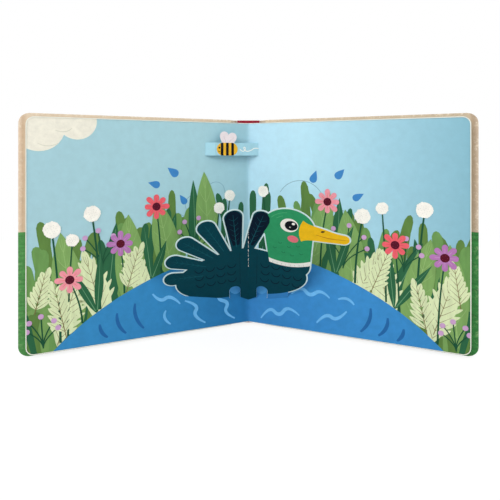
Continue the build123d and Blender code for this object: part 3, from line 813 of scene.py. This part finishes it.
def bloom(side, share, petals_ink, line_ink):
    """An open flower: round petals with a line in each, and a dark centre."""
    place, kept = page(side), on_meadow(side)
    x, y = head_place(side, share)
    turns = [step * tau / PETAL_COUNT for step in range(PETAL_COUNT)]
    petals = [(x, y, turn, PETAL_WIDTH, PETAL_LENGTH + PETAL_UNEVEN * sin(3 * turn + x))
              for turn in turns]
    stamps(petals_ink, place, PETAL_LIFT, PETAL, petals, kept)
    lines = [[(x - sin(turn) * reach, y + cos(turn) * reach, half) for reach, half in PETAL_LINE]
             for turn in turns]
    strokes(line_ink, place, PETAL_LINE_LIFT, lines, kept, step=0.7)
    stamps("maroon_ink", place, CENTRE_LIFT, DISC, spots([(x, y, CENTRE_RADIUS)]), kept)
    dots = [(x + DOT_RING * cos(turn * 1.6), y + DOT_RING * sin(turn * 1.6), DOT_RADIUS)
            for turn in turns]
    stamps("maroon_spot_ink", place, CENTRE_SPOT_LIFT, DISC, spots(dots), kept)


def seed_head(side, share, radius):
    """A round seed head with an uneven rim and fine seeds."""
    place, kept = page(side), on_meadow(side)
    x, y = head_place(side, share)
    dice = Random(int(1000 * share[0]))
    tufts = []
    for step in range(TUFT_COUNT):
        turn = step * tau / TUFT_COUNT
        start, long = radius - 1.4, 2.1 + dice.uniform(-0.3, 0.4)
        tufts.append((x - start * sin(turn), y + start * cos(turn), turn, 0.36 * radius, long))
    stamps("white_ink", place, TUFT_LIFT, PETAL, tufts, kept)
    stamps("white_ink", place, PETAL_LIFT, DISC, spots([(x, y, radius)]), kept)
    seeds = []
    for step in range(SEED_COUNT):
        reach, turn = sqrt(step / SEED_COUNT) * (radius - 1.2), step * 2.4
        seeds.append((x + reach * cos(turn), y + reach * sin(turn), SEED_RADIUS))
    stamps("grey_ink", place, PETAL_LINE_LIFT, DISC, spots(seeds), kept)


def stem(side, share, drift, half):
    """A stem from the shore up to a flower, bending on its way."""
    x, y = head_place(side, share)
    foot_x = x - side * drift
    foot = shore(side, foot_x)
    middle = (foot_x + side * drift * 0.1, foot + (y - foot) * 0.5, half)
    return [(foot_x, foot + 0.5, half * 1.2), middle, (x, y - 2, half * 0.8)]


def spray(side, x, y, height, lean):
    """A little cluster of berries: its stems and its berries."""
    spin = Matrix.Rotation(radians(-side * lean), 2)
    root, stems, berries = Vector((side * x, y)), [], []
    for reach, out in BERRIES:
        fork, tip = Vector((0, height * reach * 0.45)), Vector((height * out, height * reach))
        path = [root, root + spin @ fork, root + spin @ tip]
        stems.append([(at.x, at.y, TWIG) for at in path])
        berries.append((path[-1].x, path[-1].y, BERRY_RADIUS))
    return stems, berries


def fern(side, x, y, height, lean):
    """A pale fern in front of the meadow: lobes in pairs up a thin stalk, and one at its tip."""
    upright = radians(-side * lean)
    spin = Matrix.Rotation(upright, 2)
    root = Vector((side * x, y))
    tip = root + spin @ Vector((0, height))
    lobes, lines = [], [[(root.x, root.y, 0.3), (tip.x, tip.y, 0.12)]]
    for step in range(FERN_PAIRS):
        at = root + spin @ Vector((0, height * (0.12 + 0.13 * step)))
        for out in BOTH:
            turn = upright - out * radians(44 - 3 * step)
            reach = height * (0.34 - 0.03 * step)
            lobes.append((at.x, at.y, turn, FERN_LOBE, reach))
            end = at + Vector((-sin(turn), cos(turn))) * reach * 0.8
            lines.append([(at.x, at.y, 0.18), (end.x, end.y, 0.08)])
    lobes.append((tip.x, tip.y - 7, upright, 4.4, 9))
    return lobes, lines


def lance_leaves(side):
    """The long dark leaves that stand on the shore, and their ribs."""
    leaves, ribs = [], []
    for x, turn, tall in LANCES[side]:
        foot = shore(side, x) - 1
        leaves.append((side * x, foot, -side * turn, LANCE_WIDTH * side, tall))
        spin = Matrix.Rotation(-side * turn, 2)
        rib = [(share, spin @ Vector((side * LANCE_WIDTH * LANCE_BEND * share * share, tall * share)))
               for share in (0.06, 0.4, 0.7, 0.94)]
        ribs.append([(side * x + at.x, foot + at.y, 0.34 * (1.1 - share)) for share, at in rib])
    return leaves, ribs


def flowers(side):
    """Stems, berries, lance leaves, ferns, flowers and seed heads of one page."""
    place, kept = page(side), on_meadow(side)
    blooms = CORAL_FLOWERS[side] + PINK_FLOWERS[side] + LILAC_FLOWERS[side]
    stems = [stem(side, share, drift, FLOWER_STEM) for share, drift in zip(blooms, FLOWER_DRIFTS[side])]
    stems += [stem(side, share, SEED_DRIFT, SEED_STEM) for share in SEED_HEADS[side]]
    stems += [stem(side, share, SMALL_DRIFT, SMALL_STEM) for share in SMALL_HEADS[side]]
    berries = []
    for x, y, height, lean in SPRAYS[side]:
        twigs, fruit = spray(side, x, max(y, shore(side, x)), height, lean)
        stems += twigs
        berries += fruit
    strokes("stem_ink", place, STEM_LIFT, stems, kept, step=1.4)
    stamps("berry_ink", place, BERRY_LIFT, DISC, spots(berries), kept)
    leaves, ribs = lance_leaves(side)
    stamps("dark_leaf_ink", place, LANCE_LIFT, LANCE, leaves, kept)
    strokes("dark_vein_ink", place, LANCE_VEIN_LIFT, ribs, kept)
    for x, y, height, lean in FERNS[side]:
        lobes, lines = fern(side, x, max(y, shore(side, x)), height, lean)
        stamps("pale_leaf_ink", place, FERN_LIFT, LOBE, lobes, kept)
        strokes("pale_vein_ink", place, FERN_VEIN_LIFT, lines, kept)
    for heads, petals_ink, line_ink in ((CORAL_FLOWERS, "coral_ink", "petal_line_ink"),
                                        (PINK_FLOWERS, "pink_ink", "coral_ink"),
                                        (LILAC_FLOWERS, "lilac_ink", "berry_ink")):
        for share in heads[side]:
            bloom(side, share, petals_ink, line_ink)
    for heads, radius in ((SEED_HEADS, SEED_HEAD_RADIUS), (SMALL_HEADS, SMALL_HEAD_RADIUS)):
        for share in heads[side]:
            seed_head(side, share, radius)


# Squiggles and ripples on the pond, curls on the cloud: places that each stroke passes by
SQUIGGLES = {
    LEFT: [[(-13, 5), (-24, 11), (-18, 20), (-31, 24), (-27, 33)],
           [(-40, 5), (-52, 12), (-45, 21), (-58, 26)],
           [(-62, 24), (-70, 33), (-79, 27), (-85, 35)],
           [(-70, 8), (-78, 14), (-74, 20)]],
    RIGHT: [[(12, 5), (20, 17), (29, 8), (37, 20), (47, 12)],
            [(40, 30), (49, 38), (56, 29), (66, 37), (73, 30)],
            [(62, 8), (70, 18), (79, 11), (87, 21)],
            [(80, 30), (88, 34), (93, 27)]],
}
RIPPLES = {
    LEFT: [[(-92, 8), (-101, 17), (-99, 29)], [(-106, 6), (-114, 13), (-113, 23)],
           [(-120, 5), (-126, 9), (-126, 16)]],
    RIGHT: [[(98, 6), (107, 14), (106, 26)], [(112, 5), (120, 11), (119, 20)],
            [(126, 3), (131, 7), (131, 13)]],
}
CLOUD_CURLS = [[(-170, 158), (-163, 154), (-156, 158)], [(-158, 168), (-150, 165), (-146, 170)]]
# Drops on the sky: across, up, turn, width and length
DROPS = {
    LEFT: [(-64, 132, 0.9, 6.8, 11), (-79, 124, 1.3, 6.0, 10), (-57, 108, 0.6, 5.6, 9.5)],
    RIGHT: [(58, 126, -0.35, 6.4, 11), (78, 130, -0.75, 6.4, 10.5), (92, 113, -1.05, 5.8, 10)],
}
SQUIGGLE_HALF, RIPPLE_HALF, CURL_HALF, PRESSED_HALF = 1.65, 2.1, 0.5, 0.28
SHALLOW_UP, SHALLOW_RADIUS = 33, 6.6


def brushed(places, half):
    """A stroke that swells in its middle and thins at its ends."""
    last = len(places) - 1
    return [(x, y, half * (0.35 + 0.65 * sin(pi * index / last))) for index, (x, y) in enumerate(places)]


def water(side):
    """Light squiggles, dark ripples, a shallow patch by the gutter, and drops on the sky."""
    place = page(side)
    strokes("squiggle_ink", place, WATER_LIFT, [brushed(path, SQUIGGLE_HALF) for path in SQUIGGLES[side]])
    strokes("ripple_ink", place, WATER_LIFT, [brushed(path, RIPPLE_HALF) for path in RIPPLES[side]])
    shallow = spots([(side * NOTCH_MIDDLE, SHALLOW_UP, SHALLOW_RADIUS)])
    stamps("shallow_ink", place, WATER_LIFT, DISC, shallow)
    stamps("drop_ink", place, FAR_LIFT, DROP, DROPS[side], on_meadow(side))


def feather_turn(index):
    """How far a feather of the duck's fan is turned from upright."""
    return FEATHER_FIRST + index * FEATHER_PITCH


def feather_places(index):
    """A feather's direction, its width direction, and how far its round tip's centre reaches."""
    turn = feather_turn(index)
    reach = FEATHER_LENGTH - index * FEATHER_TAPER - FEATHER_TIP
    return Vector((-sin(turn), cos(turn))), Vector((cos(turn), sin(turn))), reach


PRESSED_BILL = [(58, 98), (66, 97.5), (74, 97.5), (78, 94.5), (77, 87), (66, 86), (56, 85)]
PRESSED_START, PRESSED_ROOT = 36, 6
PRESSED_FREE = 0.5


def duck_outline(side):
    """The duck's outline on one of its halves: its head and bill, or its feathers."""
    if side == RIGHT:
        arc = [radians(160 - 10 * step) for step in range(15)]
        head = [(HEAD.x + HEAD_RADIUS * cos(turn), HEAD.y + HEAD_RADIUS * sin(turn)) for turn in arc]
        return [head + PRESSED_BILL]
    outline = []
    for index in range(FEATHER_COUNT):
        way, wide, reach = feather_places(index)
        tip = FAN_ROOT + way * reach
        if tip.x > 0:
            continue
        path = [FAN_ROOT + way * PRESSED_START + wide * PRESSED_ROOT]
        path += [tip + wide * FEATHER_TIP * cos(step * pi / 8) + way * FEATHER_TIP * sin(step * pi / 8)
                 for step in range(9)]
        path += [FAN_ROOT + way * PRESSED_START - wide * PRESSED_ROOT]
        outline.append([(at.x, at.y) for at in path if at.x < -PRESSED_FREE])
    return [path for path in outline if len(path) > 2]


def pressed_outline(side):
    """The duck's own outline, pressed faintly into the page that it folds flat on, drawn as a thin darker
    line of painted shade in the pressed groove.
    """
    tilt = GLUE_ANGLE - crease_direction().angle(glue_direction(side))

    def flat_place(x, y):
        """Where a place of the duck comes to lie on the page with the book shut."""
        out = abs(x)
        return (side * (y * sin(tilt) + out * cos(tilt)), FOLD_RISE + y * cos(tilt) - out * sin(tilt))

    drawn = [[(*flat_place(x, y), PRESSED_HALF) for x, y in path] for path in duck_outline(side)]
    strokes("pressed_sky_ink", page(side), PRESSED_LIFT, drawn, on_meadow(side), step=1.4)


# The rim line is partly bare card core and partly painted highlight on the rounded cut edge
RIM_INSET, RIM_HALF, RIM_END_HALF, RIM_START = 0.36, 0.33, 0.2, 0.4


def page_rim(side):
    """The pale rim where the page's head, fore-edge and foot are cut: partly the bare core of the card,
    partly a painted highlight where the rounded cut edge catches light.
    """
    reach, corner, head = page_width - RIM_INSET, PAGE_CORNER - RIM_INSET, page_height - RIM_INSET
    path = [(RIM_START, head, RIM_END_HALF)]
    for middle_up, start in ((head - corner, pi / 2), (RIM_INSET + corner, 0)):
        for step in range(7):
            turn = start - step * pi / 12
            path.append((reach - corner + corner * cos(turn), middle_up + corner * sin(turn), RIM_HALF))
    path.append((RIM_START, RIM_INSET, RIM_END_HALF))
    rim = [(side * x, y, half) for x, y, half in path]
    strokes("card_core", page(side), RIM_LIFT, [rim], step=2.0)


def cloud_lines():
    """Soft curls drawn on the cloud."""
    curls = [brushed(path, CURL_HALF) for path in CLOUD_CURLS]
    strokes("cloud_line_ink", page(LEFT), WATER_LIFT, curls, on_meadow(LEFT))


for side in BOTH:
    meadow(side)
    flowers(side)
    water(side)
    pressed_outline(side)
    page_rim(side)
cloud_lines()


# Drawings on the duck

WING_LIFT = CARD_FACE + INK + 0.003
WING_TOP_LIFT = WING_LIFT + FILM + 0.003
CRACK_LIFT = WING_TOP_LIFT + 0.015
EYE_LIFT = CARD_FACE + 3 * INK + 0.003
# How far up a feather its quill, its barbs and its darker navy start
QUILL_START, BARB_START, DARK_START = 30, 36, 32
QUILL_PAST_TIP = 3
BARB_COUNT, BARB_LENGTH, BARB_END_GAP = 5, 3.2, 34
DARK_WIDTH, DARK_INSET = 13.4, 1.6
# Rows of scallops: how far up, then where they start and end across
SCALLOP_ROWS = ((30, 14, 48), (39, 10, 50), (48, 14, 42))
SCALLOP_PITCH = 9
NECK_ACROSS, NECK_UP = 40, 40
# One scallop: across, up and half width, from its middle
SCALLOP = ((-3.6, 2.6, 0.2), (-2.6, -1.6, 0.42), (2.6, -1.6, 0.42), (3.6, 2.6, 0.2))
# Arcs on the crown: radius, first and last degree
CROWN_ARCS = ((16.5, 96, 150), (13.5, 110, 142))
NECK_TICKS = ((20, 70), (27, 66), (34, 64), (41, 67), (24, 76), (31, 73), (38, 75))
BILL_LINE = [(BILL_START, 92.5, 0.25), (60, 90.6, 0.42), (68, 90.8, 0.36), (BILL_END, 91.6, 0.16)]
# Single marks: across, up, turn, width and length
BLUSH = (34, 81, -0.3, 8.6, 7.0)
NOSTRIL = (55.0, 96.0, -1.2, 1.7, 3.4)
# The eye's lights, from its middle: across, up and radius
EYE_LIGHTS = ((3.0, 2.2, 1.2), (0.6, -1.6, 0.5))
COLLAR_TICKS, COLLAR_FIRST, COLLAR_PITCH, COLLAR_TICK = 8, -105.5, 5.2, 2.2
# Up the crease: where it is cracked, and where painted shade lines the scored edges of the strip beside
# it
CRACKS_FROM, CRACKS_TO = 44.0, 84.0
SCORE_FROM, SCORE_TO = 24, 62


def quills(side):
    """A pale quill up the middle of each feather, with short barbs."""
    lines = []
    for index in range(FEATHER_COUNT):
        way, wide, reach = feather_places(index)
        tip = FAN_ROOT + way * (reach + QUILL_PAST_TIP)
        if (tip.x > 0) != (side == RIGHT):
            continue
        start = FAN_ROOT + way * QUILL_START
        middle = ((start.x + tip.x) / 2, (start.y + tip.y) / 2, 0.26)
        lines.append([(start.x, start.y, 0.32), middle, (tip.x, tip.y, 0.1)])
        for step in range(BARB_COUNT):
            foot = FAN_ROOT + way * (BARB_START + step * (reach - BARB_END_GAP) / BARB_COUNT)
            for out in BOTH:
                end = foot + way * BARB_LENGTH + wide * out * (2.6 + 0.3 * step)
                lines.append([(foot.x, foot.y, 0.16), (end.x, end.y, 0.08)])
    strokes("quill_ink", wing(side), WING_TOP_LIFT, lines, beside_crease(side))


def scallops(side):
    """Rows of drawn feathers on the duck's side, up to its neck."""
    marks = []
    for row, (y, start, end) in enumerate(SCALLOP_ROWS):
        x = start + SCALLOP_PITCH / 2 * (row % 2)
        while x < end and not (side == RIGHT and x > NECK_ACROSS and y > NECK_UP):
            marks.append([(side * x + across, y + up, half) for across, up, half in SCALLOP])
            x += SCALLOP_PITCH
    strokes("navy_ink", wing(side), WING_TOP_LIFT, marks, beside_crease(side))


def far_feathers():
    """The two feathers by the crease, drawn darker in navy."""
    for side, index in ((RIGHT, 0), (LEFT, 1)):
        way, _, reach = feather_places(index)
        start = FAN_ROOT + way * DARK_START
        long = reach - DARK_START + FEATHER_TIP - DARK_INSET
        feather = (start.x, start.y, feather_turn(index), DARK_WIDTH, long)
        stamps("navy_ink", wing(side), WING_LIFT, PETAL, [feather], beside_crease(side))


def head_drawing():
    """Marks on the crown and neck, a blush, the bill's line and nostril, and the lights in the eye."""
    place, kept = wing(RIGHT), beside_crease(RIGHT)
    crown = [[(HEAD.x + radius * cos(radians(turn)), HEAD.y + radius * sin(radians(turn)), 0.3)
              for turn in range(start, end, 8)] for radius, start, end in CROWN_ARCS]
    strokes("bright_green_ink", place, WING_LIFT, crown, kept)
    neck = [[(x, y + 3, 0.25), (x + 1.4, y, 0.4), (x + 2.8, y + 3, 0.25)] for x, y in NECK_TICKS]
    strokes("deep_green_ink", place, WING_LIFT, neck, kept)
    stamps("blush_ink", place, WING_LIFT, DISC, [BLUSH], kept)
    strokes("amber_ink", place, WING_LIFT, [BILL_LINE], kept)
    stamps("black_ink", place, WING_LIFT, LOBE, [NOSTRIL], kept)
    lights = [(EYE.x + across, EYE.y + up, radius) for across, up, radius in EYE_LIGHTS]
    stamps("white_ink", place, EYE_LIFT, DISC, spots(lights), kept)


def collar_ticks():
    """Short grey marks across the white collar."""
    ticks = []
    for step in range(COLLAR_TICKS):
        turn = radians(COLLAR_FIRST + COLLAR_PITCH * step)
        at = HEAD + Vector((cos(turn), sin(turn))) * COLLAR_RADIUS
        end = HEAD + Vector((cos(turn), sin(turn))) * (COLLAR_RADIUS + COLLAR_TICK)
        ticks.append([(at.x, at.y, 0.18), (end.x, end.y, 0.1)])
    strokes("grey_ink", wing(RIGHT), WING_LIFT, ticks, beside_crease(RIGHT))


def crease_wear(side):
    """White cracks where the print has broken on the crease, and navy lines of painted shade along the
    scored edges of the strip.
    """
    dice = Random(5 + side)
    cracks, y = [], CRACKS_FROM
    while y < CRACKS_TO:
        long = dice.uniform(1.0, 2.8)
        cracks.append([(side * 0.16, y, 0.06), (side * 0.2, y + long / 2, dice.uniform(0.12, 0.26)),
                       (side * 0.16, y + long, 0.06)])
        y += long + dice.uniform(1.2, 3.4)
    # The navy lines on the strip's scored edges are painted shade, for the shade in the score
    scored_edge_shade = [(side * STRIP_HALF, SCORE_FROM, 0.14), (side * STRIP_HALF, SCORE_TO, 0.08)]
    strokes("white_ink", wing(side), CRACK_LIFT, cracks, beside_crease(side), step=0.4)
    strokes("navy_ink", wing(side), CRACK_LIFT, [scored_edge_shade], beside_crease(side))


for side in BOTH:
    quills(side)
    scallops(side)
    crease_wear(side)
far_feathers()
head_drawing()
collar_ticks()


# Drawings on the strap

STRAP_LIFT = STRAP_CARD / 2 + 0.003
INSECT_LIFT = STRAP_LIFT + INK
# Across from the strap's raised end, and up from the middle of its height
FLIGHT_LINE = ((22.5, 0), (25, -2.4), (28, -0.6), (27.4, 2.2), (25.6, 1.2), (28.4, -2.2), (33, -1.2),
               (37, 1.6), (41, 0.6))


def strap_drawing():
    """The insect's flight line in white, its wing veins and its face."""
    place, middle = strap(), STRAP_HEIGHT / 2

    def beside_insect(*path):
        """A path whose places are measured from the middle of the insect."""
        return [(INSECT_MIDDLE + across, middle + up, half) for across, up, half in path]

    flight = [(x, middle + up, 0.34) for x, up in FLIGHT_LINE]
    strokes("white_ink", place, STRAP_LIFT, [flight], step=0.3)
    wings = [beside_insect((-1.5, 6.5, 0.16), (-3.4, 11, 0.08)),
             beside_insect((1.8, 6.5, 0.16), (6.2, 10, 0.08))]
    strokes("insect_vein_ink", place, INSECT_LIFT, wings, step=0.5)
    stamps("black_ink", place, INSECT_LIFT, DISC, spots(beside_insect((-7.2, 1.2, 0.9))))
    smile = beside_insect((-8.3, -1.5, 0.18), (-7.3, -2.7, 0.26), (-6.3, -1.9, 0.18))
    strokes("black_ink", place, INSECT_LIFT, [smile], step=0.3)


strap_drawing()
for holder in (BLADE, LANCE, PETAL, LOBE, DROP, DISC):
    bpy.data.objects.remove(holder)


def joined(ink, films):
    """All the films of one ink as one piece, its faces pointing outwards."""
    points, faces = [], []
    for film in films:
        start = len(points)
        points += [vertex.co.copy() for vertex in film.vertices]
        faces += [[start + corner for corner in face.vertices] for face in film.polygons]
        bpy.data.meshes.remove(film)
    mesh = bpy.data.meshes.new(f"{ink}_drawing")
    mesh.from_pydata(points, [], faces)
    mesh.materials.append(FINISHES[ink])
    shells = bmesh.new()
    shells.from_mesh(mesh)
    bmesh.ops.dissolve_degenerate(shells, dist=1e-7, edges=shells.edges)
    bmesh.ops.recalc_face_normals(shells, faces=shells.faces)
    shells.to_mesh(mesh)
    shells.free()
    piece = bpy.data.objects.new(f"{ink}_drawing", mesh)
    bpy.context.scene.collection.objects.link(piece)
    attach(piece, "page_block")


for ink, films in DRAWN.items():
    if films:
        joined(ink, films)


# Studio

FLOOR_REACH = 3.0
FLOOR_LEVEL = -0.0002
# The floor's shade for the light that it throws back, then what the camera sees: a faint shade and a glow
FLOOR_LIT, FLOOR_FAINT, FLOOR_GLOW = 0.8, 0.22, 0.86
FADE_FROM, FADE_TO = 0.25, 0.6
SKY_STRENGTH = 0.46
AIM = Vector((0, -0.03, 0.08))


def matt(tree, shade):
    """A matt surface of one grey."""
    return added(tree, "ShaderNodeBsdfDiffuse", {"Color": (shade, shade, shade, 1)}).outputs["BSDF"]


def glowing(tree, strength):
    """A surface that glows white."""
    return added(tree, "ShaderNodeEmission", {"Strength": strength}).outputs["Emission"]


def studio_floor():
    """A pale floor that fades to the white background and keeps the book's soft shadow."""
    bpy.ops.mesh.primitive_plane_add(size=2 * FLOOR_REACH, location=(0, 0, FLOOR_LEVEL))
    floor = bpy.context.object
    floor.name = "floor"
    material = bpy.data.materials.new("floor_white")
    material.use_nodes = True
    tree = material.node_tree
    tree.nodes.clear()
    place = added(tree, "ShaderNodeTexCoord").outputs["Object"]
    away = added(tree, "ShaderNodeVectorMath", {0: place}, operation="LENGTH").outputs["Value"]
    pale = added(tree, "ShaderNodeAddShader", {0: matt(tree, FLOOR_FAINT), 1: glowing(tree, FLOOR_GLOW)})
    fade = added(tree, "ShaderNodeMixShader", {0: share_between(tree, away, FADE_FROM, FADE_TO),
                                               1: pale.outputs["Shader"], 2: glowing(tree, 1.0)})
    rays = added(tree, "ShaderNodeLightPath")
    seen = added(tree, "ShaderNodeMixShader", {0: rays.outputs["Is Camera Ray"], 1: matt(tree, FLOOR_LIT),
                                               2: fade.outputs["Shader"]})
    added(tree, "ShaderNodeOutputMaterial", {"Surface": seen.outputs["Shader"]})
    floor.data.materials.append(material)


def studio_sky(strength):
    """Even light from all round, and a white background for the eye and for what shines."""
    world = bpy.data.worlds.new("studio")
    bpy.context.scene.world = world
    world.use_nodes = True
    tree = world.node_tree
    tree.nodes.clear()
    light, seen = (added(tree, "ShaderNodeBackground", {"Color": (1, 1, 1, 1), "Strength": power})
                   for power in (strength, 1))
    rays = added(tree, "ShaderNodeLightPath").outputs
    direct = worked_out(tree, "MAXIMUM", rays["Is Camera Ray"], rays["Is Glossy Ray"])
    any_seen = worked_out(tree, "MAXIMUM", direct, rays["Is Transmission Ray"])
    both = added(tree, "ShaderNodeMixShader", {0: any_seen, 1: light.outputs["Background"],
                                               2: seen.outputs["Background"]})
    added(tree, "ShaderNodeOutputWorld", {"Surface": both.outputs["Shader"]})


def soft_box(name, place, size, power):
    """A square soft lamp that faces the book."""
    lamp = bpy.data.lights.new(name, "AREA")
    lamp.size = size
    lamp.energy = power
    holder = bpy.data.objects.new(name, lamp)
    holder.location = place
    aim = AIM - holder.location
    holder.rotation_euler = aim.to_track_quat("-Z", "Y").to_euler()
    bpy.context.scene.collection.objects.link(holder)


def camera():
    """The photograph's camera: level, in front of the gutter, framed a little low."""
    lens = bpy.data.cameras.new("camera")
    lens.sensor_width = SENSOR
    lens.lens = FOCAL_PIXELS / IMAGE_SIZE * SENSOR
    lens.shift_x = (IMAGE_SIZE / 2 - CENTRE_PIXEL) / IMAGE_SIZE
    lens.shift_y = (HORIZON_PIXEL - IMAGE_SIZE / 2) / IMAGE_SIZE
    lens.clip_start = 0.01
    holder = bpy.data.objects.new("camera", lens)
    holder.location = Vector((0, gutter - EYE_DISTANCE, EYE_HEIGHT)) * MM
    holder.rotation_euler = (pi / 2, 0, 0)
    bpy.context.scene.collection.objects.link(holder)
    bpy.context.scene.camera = holder


studio_floor()
studio_sky(SKY_STRENGTH)
soft_box("key", place=(-0.55, -0.9, 0.75), size=0.7, power=7.5)
soft_box("fill", place=(0.7, -0.8, 0.5), size=0.8, power=2.2)
soft_box("back", place=(0.1, 1.0, 0.7), size=0.9, power=5)
camera()
bpy.context.scene.view_settings.view_transform = "Standard"
